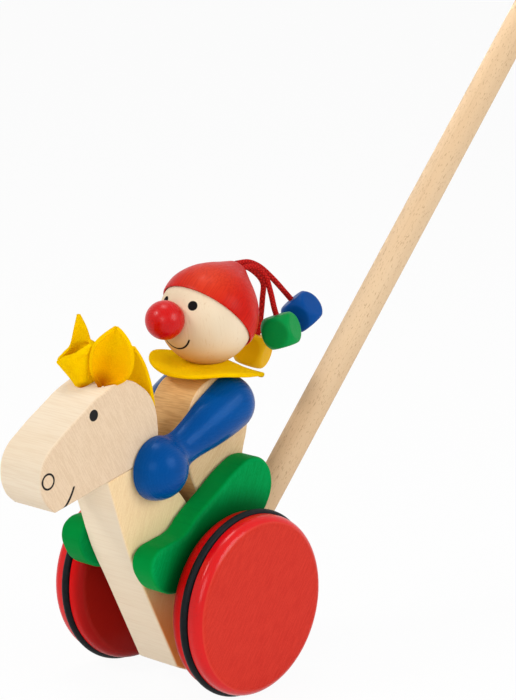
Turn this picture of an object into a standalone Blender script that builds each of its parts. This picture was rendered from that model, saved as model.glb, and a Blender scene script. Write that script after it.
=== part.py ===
# Wooden push toy: a horse on two wheels with a rocking rider and a long push stick.
# Metres, +Z up. The horse faces -Y and the axle lies along X.
# Everything is placed from the middle of the axle, and the whole toy is then set on the floor.

import math

import bmesh
import bpy
from mathutils import Euler, Matrix, Vector

# Driving dimensions: fits
GLUE_GAP = 0.0003
RUN_GAP = 0.0003
SIDE_PLAY = 0.0004

# Driving dimensions: wheels and axle
WHEEL_RADIUS = 0.0429
WHEEL_THICKNESS = 0.0195
WHEEL_EDGE_RADIUS = 0.005
WHEEL_LEG_GAP = 0.0016
WHEEL_BORE_DEPTH = 0.014
TYRE_SECTION_RADIUS = 0.0022
TYRE_PROUD = 0.0021
AXLE_RADIUS = 0.004
WHEEL_STEPS = 42
TYRE_SIDES = 8

# Driving dimensions: eccentric on the axle and the tail that rides on it
ECCENTRIC_RADIUS = 0.0075
ECCENTRICITY = 0.002
ECCENTRIC_THICKNESS = 0.008
ECCENTRIC_CLEARANCE = 0.0006
ROCKER_THICKNESS = 0.008
ROCKER_TAIL_WIDTH = 0.0055
ROCKER_TAIL_DROP = 0.041
ROCKER_HEAD_WIDTH = 0.014
ROCKER_HEAD_RISE = 0.015
ROCKER_EDGE_RADIUS = 0.0004
SLOT_END_MARGIN = 0.0012
ROCK_FORWARD_DEGREES = 7.0

# Driving dimensions: horse
BODY_THICKNESS = 0.0258
BODY_HEEL_RADIUS = 0.0388
BODY_EDGE_RADIUS = 0.0008
NECK_FRONT_Y = -0.0650
NECK_REAR_Y = -0.0349
SADDLE_HEIGHT = 0.0325
HEAD_SEAT_Y = -0.0330
HEAD_SEAT_Z = 0.0749
HEAD_SEAT_DEGREES = 12.3
HEAD_THICKNESS = 0.027
HEAD_EDGE_RADIUS = 0.0012
HEAD_DOWEL_RADIUS = 0.004
HEAD_DOWEL_LENGTH = 0.024
FRONT_HEAD_DOWEL_Y = -0.0565
REAR_HEAD_DOWEL_Y = -0.0440
LEG_THICKNESS = 0.0146
LEG_EDGE_RADIUS = 0.0014
LEG_DOWEL_RADIUS = 0.004
LEG_DOWEL_DEPTH = 0.009
LEG_DOWEL_Y = -0.033
LEG_DOWEL_Z = 0.024
RIGHT_LEG_LIFT_DEGREES = 3.3
RIGHT_LEG_FORWARD = 0.0028

# Driving dimensions: felt crest and ears of the horse, each ear rolled by hand and open in its own way
FELT_THICKNESS = 0.0024
EAR_FOOT_RADIUS = 0.0028
EAR_FOOT_DEPTH = 0.005
EAR_TURN_DEGREES = 17.0
EAR_NECK_HEIGHT = 0.0012
EAR_BELLY_HEIGHT = 0.0105
EAR_RIM_HEIGHT = 0.0150
EAR_RIM_SLOPE = 0.0038
EAR_FRONT_RISE_DEGREES = 60.0
EAR_SPOKES = 16
EAR_RINGS = 5
EAR_SHAPES = {
    "left": {"foot": (0.0060, -0.0604, 0.1117), "loop": (0.0070, -0.0006), "half_length": 0.0108,
             "half_width": 0.0056, "back_belly": 0.0050, "tip": (0.0050, 0.0010), "tip_height": 0.0274,
             "tip_degrees": 105.0, "tip_share": 0.30, "front_spread": 105.0, "back_spread": 55.0,
             "front_rise": 0.0056, "lean_power": 2.2},
    "right": {"foot": (0.0046, -0.0644, 0.1108), "loop": (0.0076, 0.0034), "half_length": 0.0097,
              "half_width": 0.0044, "back_belly": 0.0080, "tip": (0.0066, 0.0064), "tip_height": 0.0295,
              "tip_degrees": 130.0, "tip_share": 0.22, "front_spread": 24.0, "back_spread": 62.0,
              "front_rise": 0.0009, "lean_power": 1.6},
}

# Driving dimensions: push stick
STICK_RADIUS = 0.0076
STICK_LENGTH = 0.560
STICK_END_RADIUS = 0.004
STICK_ANGLE_DEGREES = 47.1
STICK_FOOT_Y = 0.0313
STICK_FOOT_Z = 0.0058
SOCKET_DEPTH = 0.0225
SOCKET_FACE_HALF = 0.0115

# Driving dimensions: rider
HIP_Y = 0.012
HIP_Z = 0.045
HIP_PIN_RADIUS = 0.004
HIP_PIN_DEPTH = 0.009
TORSO_HIP_RADIUS = 0.0118
TORSO_EDGE_RADIUS = 0.0008
TORSO_TOP_Z = 0.1043
NECK_DOWEL_RADIUS = 0.005
NECK_DOWEL_DEPTH = 0.008
RIDER_HEAD_RADIUS = 0.0228
RIDER_HEAD_Y = 0.0144
RIDER_HEAD_GAP = 0.0029
COLLAR_RADIUS = 0.0275
COLLAR_FLAT_RADIUS = 0.0162
COLLAR_TILT = 0.0045
COLLAR_TILT_DEGREES = 240.0
COLLAR_WAVE = 0.0023
COLLAR_WAVE_DEGREES = 177.0
COLLAR_SPOKES = 28
COLLAR_RINGS = 4
NOSE_RADIUS = 0.0093
NOSE_REACH = 0.0285
NOSE_RISE_DEGREES = 6.0
NOSE_PEG_RADIUS = 0.003
NOSE_PEG_DEPTH = 0.007
CAP_TIP_WALL = 0.0073
CAP_WALLS = [(9.1, 0.0073), (19.4, 0.0047), (32.7, 0.0030), (46.4, 0.0023), (59.7, 0.0019), (71.2, 0.0017),
             (80.6, 0.0013), (88.8, 0.0009)]
CAP_LEAN_DEGREES = 46.0
CAP_STEPS = 32
CORD_HOLE_RADIUS = 0.0036

# Driving dimensions: arms, turned and split lengthwise
ARM_LENGTH = 0.0527
ARM_DROP_DEGREES = 24.0
ARM_SHOULDER_RADIUS = 0.0141
ARM_ELBOW_RADIUS = 0.0122
ARM_ELBOW_SHARE = 0.36
ARM_WRIST_RADIUS = 0.0096
ARM_WRIST_SHARE = 0.67
HAND_RADIUS = 0.0153
SHOULDER_Y = 0.0133
SHOULDER_Z = 0.0900
SHOULDER_DOWEL_RADIUS = 0.004
SHOULDER_DOWEL_DEPTH = 0.008
HAND_CLEARANCE = 0.0004
ARM_STEPS = 24

# Driving dimensions: cords and their cubes
CORD_RADIUS = 0.0014
CUBE_SIZE = 0.0155
CUBE_EDGE_RADIUS = 0.0032
CORD_STEPS = 2

# Sizes that follow from the driving dimensions
TYRE_RING_RADIUS = WHEEL_RADIUS + TYRE_PROUD - TYRE_SECTION_RADIUS
AXLE_HEIGHT = WHEEL_RADIUS + TYRE_PROUD
LEG_INNER_X = BODY_THICKNESS / 2 + GLUE_GAP
LEG_OUTER_X = LEG_INNER_X + LEG_THICKNESS
WHEEL_INNER_X = LEG_OUTER_X + WHEEL_LEG_GAP
WHEEL_X = WHEEL_INNER_X + WHEEL_THICKNESS / 2
AXLE_LENGTH = 2 * (WHEEL_INNER_X + WHEEL_BORE_DEPTH - GLUE_GAP)
TORSO_THICKNESS = BODY_THICKNESS - 2 * (SIDE_PLAY - GLUE_GAP)
ARM_INNER_X = TORSO_THICKNESS / 2 + GLUE_GAP
SLOT_WIDTH = ROCKER_THICKNESS + 2 * RUN_GAP
TAIL_FRONT_Y = ECCENTRIC_RADIUS + ECCENTRICITY + ECCENTRIC_CLEARANCE
HEAD_SEAT_SLOPE = math.tan(math.radians(HEAD_SEAT_DEGREES))
RIDER_HEAD_Z = TORSO_TOP_Z + RIDER_HEAD_GAP + RIDER_HEAD_RADIUS
STICK_DIRECTION = Vector((0, math.cos(math.radians(STICK_ANGLE_DEGREES)),
                          math.sin(math.radians(STICK_ANGLE_DEGREES))))
STICK_FOOT = Vector((0, STICK_FOOT_Y, STICK_FOOT_Z))
HIP = Vector((0, HIP_Y, HIP_Z))
LEG_DOWEL = Vector((0, LEG_DOWEL_Y, LEG_DOWEL_Z))
SHOULDER = Vector((0, SHOULDER_Y, SHOULDER_Z))
RIDER_HEAD_CENTRE = Vector((0, RIDER_HEAD_Y, RIDER_HEAD_Z))
CAP_INNER_RADIUS = RIDER_HEAD_RADIUS + GLUE_GAP
CAP_HEIGHT = CAP_INNER_RADIUS + CAP_TIP_WALL
CAP_AXIS = Vector((0, math.sin(math.radians(CAP_LEAN_DEGREES)), math.cos(math.radians(CAP_LEAN_DEGREES))))
CAP_TIP = RIDER_HEAD_CENTRE + CAP_HEIGHT * CAP_AXIS
NOSE_AXIS = Vector((0, -math.cos(math.radians(NOSE_RISE_DEGREES)), math.sin(math.radians(NOSE_RISE_DEGREES))))

# A flat outline lies in the local XY plane: this turns it upright, so X is Y and Y is Z
UPRIGHT = Euler((math.pi / 2, 0, math.pi / 2))
ALONG_X = Euler((0, math.pi / 2, 0))
ROUND_STEPS = 20

# Start from an empty scene with one collection for the toy and one for the cutters
for old in list(bpy.data.objects):
    bpy.data.objects.remove(old, do_unlink=True)
toy = bpy.data.collections.new("push_toy")
cutters = bpy.data.collections.new("cutters")
bpy.context.scene.collection.children.link(toy)
bpy.context.scene.collection.children.link(cutters)


def paint(name, colour, roughness):
    material = bpy.data.materials.new(name)
    material.use_nodes = True
    shader = material.node_tree.nodes["Principled BSDF"]
    shader.inputs["Base Color"].default_value = (*colour, 1)
    shader.inputs["Roughness"].default_value = roughness
    shader.inputs["Metallic"].default_value = 0.0
    material.diffuse_color = (*colour, 1)
    return material


MAPLE = paint("maple", (0.80, 0.66, 0.47), 0.55)
BEECH = paint("beech", (0.72, 0.50, 0.31), 0.55)
RED_STAIN = paint("red_stain", (0.62, 0.02, 0.02), 0.40)
GREEN_STAIN = paint("green_stain", (0.00, 0.24, 0.05), 0.45)
BLUE_STAIN = paint("blue_stain", (0.01, 0.08, 0.36), 0.40)
YELLOW_STAIN = paint("yellow_stain", (0.80, 0.55, 0.01), 0.45)
YELLOW_FELT = paint("yellow_felt", (0.85, 0.55, 0.00), 0.95)
RED_CORD = paint("red_cord", (0.50, 0.01, 0.02), 0.80)
RUBBER = paint("rubber", (0.02, 0.02, 0.02), 0.60)


def frame_empty(name, parent, place):
    # A joint's axis runs through its empty, and pieces are placed from it
    empty = bpy.data.objects.new(name, None)
    toy.objects.link(empty)
    empty.parent = parent
    empty.location = place
    return empty


def add_object(name, data, material, parent, place, turn=Euler((0, 0, 0))):
    piece = bpy.data.objects.new(name, data)
    toy.objects.link(piece)
    if material is not None:
        data.materials.append(material)
    piece.parent = parent
    piece.location = place
    piece.rotation_euler = turn
    return piece


def mesh_from(fill):
    # Runs one bmesh builder and returns the finished mesh
    work = bmesh.new()
    fill(work)
    mesh = bpy.data.meshes.new("shape")
    work.to_mesh(mesh)
    work.free()
    return mesh


def smooth_round(piece, angle_degrees=35):
    piece.data.shade_smooth()
    piece.data.set_sharp_from_angle(angle=math.radians(angle_degrees))
    return piece


def cut_with(piece, cutter):
    cut = piece.modifiers.new("cut_" + cutter.name, "BOOLEAN")
    cut.operation = "DIFFERENCE"
    cut.solver = "EXACT"
    cut.object = cutter
    return piece


def add_cutter(name, mesh, parent, place, turn=Euler((0, 0, 0))):
    cutter = add_object(name, mesh, None, parent, place, turn)
    toy.objects.unlink(cutter)
    cutters.objects.link(cutter)
    cutter.hide_render = True
    cutter.display_type = "WIRE"
    return cutter


def rod_mesh(radius, length, steps=ROUND_STEPS):
    def fill(work):
        bmesh.ops.create_cone(work, cap_ends=True, segments=steps, radius1=radius, radius2=radius, depth=length)
    return mesh_from(fill)


def box_mesh(size):
    def fill(work):
        bmesh.ops.create_cube(work, size=1.0, matrix=Matrix.Diagonal((*size, 1)))
    return mesh_from(fill)


def turned(name, profile, material, parent, place, turn, steps):
    # A lathe-turned piece: the profile holds (radius, height) pairs from top to bottom
    mesh = bpy.data.meshes.new(name)
    points = [(radius, 0, height) for radius, height in profile]
    edges = [(index, index + 1) for index in range(len(points) - 1)]
    if profile[0][0] > 0 and profile[-1][0] > 0:
        edges.append((len(points) - 1, 0))
    mesh.from_pydata(points, edges, [])
    piece = add_object(name, mesh, material, parent, place, turn)
    lathe = piece.modifiers.new("lathe", "SCREW")
    lathe.axis = "Z"
    lathe.steps = steps
    lathe.render_steps = steps
    lathe.use_merge_vertices = True
    lathe.merge_threshold = 0.00001
    lathe.use_smooth_shade = True
    return piece


def arc(centre, radius, start_degrees, end_degrees, steps):
    points = []
    for step in range(steps + 1):
        angle = math.radians(start_degrees + (end_degrees - start_degrees) * step / steps)
        points.append((centre[0] + radius * math.cos(angle), centre[1] + radius * math.sin(angle)))
    return points


def board(name, outline, thickness, edge_radius, material, parent, offset, x, curve_steps=3):
    # A sawn board: outline points are (y, z, smooth or corner), taken from the offset point.
    # It is filled as a 2D curve, made a mesh so that it can be drilled, and its edges are rounded.
    curve = bpy.data.curves.new(name + "_outline", "CURVE")
    curve.dimensions = "2D"
    curve.fill_mode = "BOTH"
    curve.extrude = thickness / 2
    curve.resolution_u = curve_steps
    spline = curve.splines.new("BEZIER")
    spline.bezier_points.add(len(outline) - 1)
    for point, (y, z, kind) in zip(spline.bezier_points, outline):
        point.co = (y - offset.y, z - offset.z, 0)
        handle = "AUTO" if kind == "smooth" else "VECTOR"
        point.handle_left_type = handle
        point.handle_right_type = handle
    spline.use_cyclic_u = True
    drawn = add_object(name + "_drawn", curve, None, parent, (0, 0, 0))
    mesh = bpy.data.meshes.new_from_object(drawn.evaluated_get(bpy.context.evaluated_depsgraph_get()))
    bpy.data.objects.remove(drawn, do_unlink=True)
    work = bmesh.new()
    work.from_mesh(mesh)
    bmesh.ops.remove_doubles(work, verts=work.verts, dist=0.00001)
    bmesh.ops.dissolve_limit(work, angle_limit=math.radians(1), verts=work.verts, edges=work.edges)
    bmesh.ops.recalc_face_normals(work, faces=work.faces)
    work.to_mesh(mesh)
    work.free()
    piece = add_object(name, mesh, material, parent, (x, 0, 0), UPRIGHT)
    rounding = piece.modifiers.new("rounded_edges", "BEVEL")
    rounding.width = edge_radius
    rounding.segments = 2
    rounding.limit_method = "ANGLE"
    rounding.angle_limit = math.radians(50)
    return piece


def corner(y, z):
    return (y, z, "corner")


def smooth(y, z):
    return (y, z, "smooth")


# Frames of the toy: the horse is fixed, the wheels turn on the axle, the rider rocks on the hip pin
ground = frame_empty("toy_on_floor", None, (0, 0, AXLE_HEIGHT))
horse = frame_empty("horse_frame", ground, (0, 0, 0))
wheelset = frame_empty("axle_axis", ground, (0, 0, 0))
rider = frame_empty("hip_axis", ground, HIP)
CENTRE = Vector((0, 0, 0))


# Horse body: a thick board with the neck leaning forward, a round heel and a face for the stick
def socket_corner(side):
    mouth = STICK_FOOT + SOCKET_DEPTH * STICK_DIRECTION
    across = Vector((0, STICK_DIRECTION.z, -STICK_DIRECTION.y))
    place = mouth + side * SOCKET_FACE_HALF * across
    return corner(place.y, place.z)


def seat_height(y):
    # Underside of the horse's head: a straight saw cut that slopes down towards the chin
    return HEAD_SEAT_Z + HEAD_SEAT_SLOPE * (y - HEAD_SEAT_Y)


heel = [corner(y, z) for y, z in arc((0, 0), BODY_HEEL_RADIUS, 237.5, 325, 12)]
body_outline = [
    corner(NECK_FRONT_Y, seat_height(NECK_FRONT_Y) - GLUE_GAP),
    smooth(-0.0585, 0.0484),
    smooth(-0.0548, 0.0374),
    smooth(-0.0511, 0.0278),
    smooth(-0.0439, 0.0137),
    *heel,
    socket_corner(1),
    socket_corner(-1),
    corner(0.0300, SADDLE_HEIGHT),
    corner(0.0030, SADDLE_HEIGHT),
    smooth(-0.0020, 0.0352),
    corner(NECK_REAR_Y, seat_height(NECK_REAR_Y) - GLUE_GAP),
]
horse_body = board("horse_body", body_outline, BODY_THICKNESS, BODY_EDGE_RADIUS, MAPLE, horse, CENTRE, 0)

# The body is bored for the axle and the leg dowel, slotted for the rocker and bored for the stick
axle_bore = add_cutter("axle_bore", rod_mesh(AXLE_RADIUS + RUN_GAP, 2 * BODY_THICKNESS), horse, CENTRE, ALONG_X)
cut_with(horse_body, axle_bore)
leg_dowel_bore = add_cutter("leg_dowel_bore", rod_mesh(LEG_DOWEL_RADIUS + GLUE_GAP, 2 * BODY_THICKNESS), horse,
                            LEG_DOWEL, ALONG_X)
cut_with(horse_body, leg_dowel_bore)

tail_sweep = ROCKER_TAIL_DROP * math.sin(math.radians(ROCK_FORWARD_DEGREES))
slot_front = -(ECCENTRIC_RADIUS + ECCENTRICITY + SLOT_END_MARGIN)
slot_rear = TAIL_FRONT_Y + ROCKER_TAIL_WIDTH + tail_sweep + SLOT_END_MARGIN
slot_floor = slot_front
slot_top = SADDLE_HEIGHT + TORSO_HIP_RADIUS
slot_size = (SLOT_WIDTH, slot_rear - slot_front, slot_top - slot_floor)
slot_place = Vector((0, (slot_rear + slot_front) / 2, (slot_top + slot_floor) / 2))
rocker_slot = add_cutter("rocker_slot", box_mesh(slot_size), horse, slot_place)
cut_with(horse_body, rocker_slot)

STICK_TURN = Euler((-math.radians(90 - STICK_ANGLE_DEGREES), 0, 0))
socket_place = STICK_FOOT - GLUE_GAP * STICK_DIRECTION + SOCKET_DEPTH * STICK_DIRECTION
stick_socket = add_cutter("stick_socket", rod_mesh(STICK_RADIUS + GLUE_GAP, 2 * SOCKET_DEPTH, 24), horse,
                          socket_place, STICK_TURN)
cut_with(horse_body, stick_socket)

# Push stick: a long turned rod glued into the socket, with a rounded end
stick_profile = [(0, STICK_LENGTH)]
end_round = (STICK_RADIUS - STICK_END_RADIUS, STICK_LENGTH - STICK_END_RADIUS)
stick_profile += arc(end_round, STICK_END_RADIUS, 90, 0, 4)
stick_profile += [(STICK_RADIUS, 0), (0, 0)]
push_stick = turned("push_stick", stick_profile, BEECH, horse, STICK_FOOT, STICK_TURN, 24)

# Horse head: a thicker board on the sloping end of the neck
head_outline = [
    corner(-0.0984, seat_height(-0.0984)),
    smooth(-0.1044, 0.0670),
    smooth(-0.1067, 0.0768),
    smooth(-0.1040, 0.0860),
    smooth(-0.0942, 0.0943),
    smooth(-0.0815, 0.1023),
    smooth(-0.0680, 0.1097),
    smooth(-0.0531, 0.1131),
    smooth(-0.0426, 0.1083),
    smooth(-0.0354, 0.1000),
    smooth(-0.0326, 0.0880),
    corner(HEAD_SEAT_Y, HEAD_SEAT_Z),
]
horse_head = board("horse_head", head_outline, HEAD_THICKNESS, HEAD_EDGE_RADIUS, MAPLE, horse, CENTRE, 0)

# Two dowels cross the seam between neck and head, square to the saw cut
SEAM_TURN = Euler((math.atan(HEAD_SEAT_SLOPE), 0, 0))
for label, y in (("front", FRONT_HEAD_DOWEL_Y), ("rear", REAR_HEAD_DOWEL_Y)):
    seam_point = Vector((0, y, seat_height(y) - GLUE_GAP / 2))
    bore = add_cutter("head_dowel_bore_" + label,
                      rod_mesh(HEAD_DOWEL_RADIUS + GLUE_GAP, HEAD_DOWEL_LENGTH + 2 * GLUE_GAP),
                      horse, seam_point, SEAM_TURN)
    cut_with(horse_body, bore)
    cut_with(horse_head, bore)
    dowel = add_object("head_dowel_" + label, rod_mesh(HEAD_DOWEL_RADIUS, HEAD_DOWEL_LENGTH), BEECH, horse,
                       seam_point, SEAM_TURN)
    smooth_round(dowel)

# Legs: two sawn boards glued to the sides of the body, from the hip to the shoe, the right foot a little higher
def lifted(outline, degrees, forward):
    # The outline turned about the hip so that its foot rises, and set forward
    lift = Matrix.Rotation(-math.radians(degrees), 3, "X")
    turned_points = []
    for y, z, kind in outline:
        place = HIP + lift @ (Vector((0, y, z)) - HIP)
        turned_points.append((place.y - forward, place.z, kind))
    return turned_points


leg_outline = [
    smooth(-0.0516, 0.0276),
    smooth(-0.0478, 0.0331),
    smooth(-0.0393, 0.0353),
    smooth(-0.0291, 0.0376),
    smooth(-0.0215, 0.0437),
    smooth(-0.0070, 0.0531),
    smooth(0.0088, 0.0625),
    smooth(0.0175, 0.0651),
    smooth(0.0262, 0.0620),
    smooth(0.0312, 0.0520),
    smooth(0.0285, 0.0412),
    smooth(0.0190, 0.0320),
    smooth(0.0000, 0.0235),
    smooth(-0.0180, 0.0165),
    smooth(-0.0300, 0.0110),
    smooth(-0.0405, 0.0114),
    smooth(-0.0489, 0.0184),
]
hip_pin_length = 2 * (LEG_INNER_X + HIP_PIN_DEPTH)
hip_bore = add_cutter("hip_bore", rod_mesh(HIP_PIN_RADIUS + RUN_GAP, hip_pin_length + 2 * GLUE_GAP), horse,
                      HIP, ALONG_X)
leg_dowel_length = 2 * (LEG_INNER_X + LEG_DOWEL_DEPTH)
leg_bore = add_cutter("leg_bore", rod_mesh(LEG_DOWEL_RADIUS + GLUE_GAP, leg_dowel_length + 2 * GLUE_GAP), horse,
                      LEG_DOWEL, ALONG_X)
for label, side in (("left", 1), ("right", -1)):
    leg_x = side * (LEG_INNER_X + LEG_THICKNESS / 2)
    outline = leg_outline if side > 0 else lifted(leg_outline, RIGHT_LEG_LIFT_DEGREES, RIGHT_LEG_FORWARD)
    leg = board(label + "_leg", outline, LEG_THICKNESS, LEG_EDGE_RADIUS, GREEN_STAIN, horse, CENTRE, leg_x)
    cut_with(leg, hip_bore)
    cut_with(leg, leg_bore)
leg_dowel = add_object("leg_dowel", rod_mesh(LEG_DOWEL_RADIUS, leg_dowel_length), BEECH, horse, LEG_DOWEL,
                       ALONG_X)
smooth_round(leg_dowel)
hip_pin = add_object("hip_pin", rod_mesh(HIP_PIN_RADIUS, hip_pin_length), BEECH, horse, HIP, ALONG_X)
smooth_round(hip_pin)

# Axle and eccentric: the eccentric turns in the slot and pushes the rocker's tail
axle = add_object("axle", rod_mesh(AXLE_RADIUS, AXLE_LENGTH), BEECH, wheelset, CENTRE, ALONG_X)
smooth_round(axle)
eccentric = add_object("eccentric", rod_mesh(ECCENTRIC_RADIUS, ECCENTRIC_THICKNESS, 28), BEECH, wheelset,
                       (0, -ECCENTRICITY, 0), ALONG_X)
smooth_round(eccentric)
eccentric_bore = add_cutter("eccentric_bore", rod_mesh(AXLE_RADIUS + GLUE_GAP, 2 * ECCENTRIC_THICKNESS),
                            wheelset, CENTRE, ALONG_X)
cut_with(eccentric, eccentric_bore)

# Wheels: turned discs with round edges, a groove for the rubber ring and a blind bore for the axle
half_wheel = WHEEL_THICKNESS / 2
edge_centre_radius = WHEEL_RADIUS - WHEEL_EDGE_RADIUS
edge_centre_height = half_wheel - WHEEL_EDGE_RADIUS
groove_radius = TYRE_SECTION_RADIUS + GLUE_GAP
groove_angle = math.degrees(math.acos((WHEEL_RADIUS - TYRE_RING_RADIUS) / groove_radius))
wheel_profile = [(0, half_wheel)]
wheel_profile += arc((edge_centre_radius, edge_centre_height), WHEEL_EDGE_RADIUS, 90, 0, 3)
wheel_profile += arc((TYRE_RING_RADIUS, 0), groove_radius, groove_angle, 360 - groove_angle, 4)
wheel_profile += arc((edge_centre_radius, -edge_centre_height), WHEEL_EDGE_RADIUS, 0, -90, 3)
bore_radius = AXLE_RADIUS + GLUE_GAP
bore_end = WHEEL_BORE_DEPTH - half_wheel
wheel_profile += [(bore_radius, -half_wheel), (bore_radius, bore_end), (0, bore_end)]
for label, side in (("left", 1), ("right", -1)):
    turn = Euler((0, side * math.pi / 2, 0))
    place = Vector((side * WHEEL_X, 0, 0))
    turned(label + "_wheel", wheel_profile, RED_STAIN, wheelset, place, turn, WHEEL_STEPS)
    ring_profile = arc((TYRE_RING_RADIUS, 0), TYRE_SECTION_RADIUS, 180, -180 + 360 / TYRE_SIDES, TYRE_SIDES - 1)
    turned(label + "_tyre", ring_profile, RUBBER, wheelset, place, turn, WHEEL_STEPS)

# Rider's torso: a sawn block, round about the hip pin, that rocks between the legs
hip_round = arc((HIP_Y, HIP_Z), TORSO_HIP_RADIUS, -5, -140, 8)
torso_outline = [
    corner(0.0060, TORSO_TOP_Z),
    smooth(-0.0050, 0.0993),
    smooth(-0.0120, 0.0887),
    smooth(-0.0149, 0.0780),
    smooth(-0.0118, 0.0640),
    smooth(-0.0076, 0.0538),
    *[corner(y, z) for y, z in reversed(hip_round)],
    smooth(0.0262, 0.0635),
    smooth(0.0294, 0.0760),
    smooth(0.0285, 0.0920),
    corner(0.0215, TORSO_TOP_Z),
]
torso = board("torso", torso_outline, TORSO_THICKNESS, TORSO_EDGE_RADIUS, MAPLE, rider, HIP, 0)
torso_pin_bore = add_cutter("torso_pin_bore", rod_mesh(HIP_PIN_RADIUS + RUN_GAP, 2 * TORSO_THICKNESS), rider,
                            CENTRE, ALONG_X)
cut_with(torso, torso_pin_bore)

# Rocker: a flat piece let into the torso, with a tail that hangs behind the eccentric
rocker_head_bottom = -TORSO_HIP_RADIUS
mortise_size = (ROCKER_THICKNESS + 2 * GLUE_GAP, ROCKER_HEAD_WIDTH + 2 * GLUE_GAP,
                ROCKER_HEAD_RISE + GLUE_GAP + 2 * TORSO_HIP_RADIUS)
mortise_place = Vector((0, 0, ROCKER_HEAD_RISE + GLUE_GAP - mortise_size[2] / 2))
mortise = add_cutter("rocker_mortise", box_mesh(mortise_size), rider, mortise_place)
cut_with(torso, mortise)
tail_front = TAIL_FRONT_Y
tail_rear = TAIL_FRONT_Y + ROCKER_TAIL_WIDTH
tail_bottom = HIP_Z - ROCKER_TAIL_DROP
rocker_outline = [
    corner(HIP_Y - ROCKER_HEAD_WIDTH / 2, HIP_Z + ROCKER_HEAD_RISE),
    corner(HIP_Y - ROCKER_HEAD_WIDTH / 2, HIP_Z - ROCKER_HEAD_WIDTH / 2),
    corner(tail_front, SADDLE_HEIGHT),
    corner(tail_front, tail_bottom),
    corner(tail_rear, tail_bottom),
    corner(tail_rear, SADDLE_HEIGHT),
    corner(HIP_Y + ROCKER_HEAD_WIDTH / 2, HIP_Z - ROCKER_HEAD_WIDTH / 2),
    corner(HIP_Y + ROCKER_HEAD_WIDTH / 2, HIP_Z + ROCKER_HEAD_RISE),
]
rocker = board("rocker", rocker_outline, ROCKER_THICKNESS, ROCKER_EDGE_RADIUS, BEECH, rider, HIP, 0)
cut_with(rocker, torso_pin_bore)

# Neck dowel: joins the torso to the head through the felt collar
neck_bottom = TORSO_TOP_Z - NECK_DOWEL_DEPTH
neck_top = RIDER_HEAD_Z - RIDER_HEAD_RADIUS + NECK_DOWEL_DEPTH
neck_middle = Vector((0, RIDER_HEAD_Y, (neck_bottom + neck_top) / 2)) - HIP
neck_length = neck_top - neck_bottom
neck_bore = add_cutter("neck_bore", rod_mesh(NECK_DOWEL_RADIUS + GLUE_GAP, neck_length + 2 * GLUE_GAP), rider,
                       neck_middle)
cut_with(torso, neck_bore)
neck_dowel = add_object("neck_dowel", rod_mesh(NECK_DOWEL_RADIUS, neck_length), BEECH, rider, neck_middle)
smooth_round(neck_dowel)

# Rider's head: a turned ball, bored for the neck dowel and the nose peg
head_place = RIDER_HEAD_CENTRE - HIP


def ball_mesh(radius, across, around):
    def fill(work):
        bmesh.ops.create_uvsphere(work, u_segments=across, v_segments=around, radius=radius)
    return mesh_from(fill)


rider_head = add_object("rider_head", ball_mesh(RIDER_HEAD_RADIUS, 28, 16), MAPLE, rider, head_place)
smooth_round(rider_head)
cut_with(rider_head, neck_bore)
nose_place = head_place + NOSE_REACH * NOSE_AXIS
NOSE_TURN = Euler((math.radians(90 - NOSE_RISE_DEGREES), 0, 0))
nose = add_object("nose", ball_mesh(NOSE_RADIUS, 20, 12), RED_STAIN, rider, nose_place)
smooth_round(nose)
nose_seat = add_cutter("nose_seat", ball_mesh(RIDER_HEAD_RADIUS + GLUE_GAP, 28, 16), rider, head_place)
cut_with(nose, nose_seat)
peg_place = head_place + RIDER_HEAD_RADIUS * NOSE_AXIS
peg_length = 2 * NOSE_PEG_DEPTH
peg_bore = add_cutter("nose_peg_bore", rod_mesh(NOSE_PEG_RADIUS + GLUE_GAP, peg_length + 2 * GLUE_GAP, 16),
                      rider, peg_place, NOSE_TURN)
cut_with(rider_head, peg_bore)
cut_with(nose, peg_bore)
nose_peg = add_object("nose_peg", rod_mesh(NOSE_PEG_RADIUS, peg_length, 16), BEECH, rider, peg_place, NOSE_TURN)
smooth_round(nose_peg)

# Cap: a pointed turned shell glued over the back of the ball, with a hole for the cords in its tip.
# Its wall is thin at the rim and thick at the tip, given by the angle from the cap's axis.
cap_hole_angle = math.degrees(math.asin(CORD_HOLE_RADIUS / CAP_INNER_RADIUS))
cap_profile = [(CORD_HOLE_RADIUS, CAP_HEIGHT)]
for angle, wall in CAP_WALLS:
    outer = CAP_INNER_RADIUS + wall
    cap_profile.append((outer * math.sin(math.radians(angle)), outer * math.cos(math.radians(angle))))
cap_profile += arc((0, 0), CAP_INNER_RADIUS, 0, 90 - cap_hole_angle, 6)
CAP_TURN = Euler((-math.radians(CAP_LEAN_DEGREES), 0, 0))
cap = turned("cap", cap_profile, RED_STAIN, rider, head_place, CAP_TURN, CAP_STEPS)

# Collar: a felt disc clamped between torso and head, raised on one side, drooping on the other and waved
collar_hole = NECK_DOWEL_RADIUS + GLUE_GAP
collar_rise = TORSO_TOP_Z + (RIDER_HEAD_GAP - FELT_THICKNESS) / 2 + FELT_THICKNESS / 2


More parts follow.
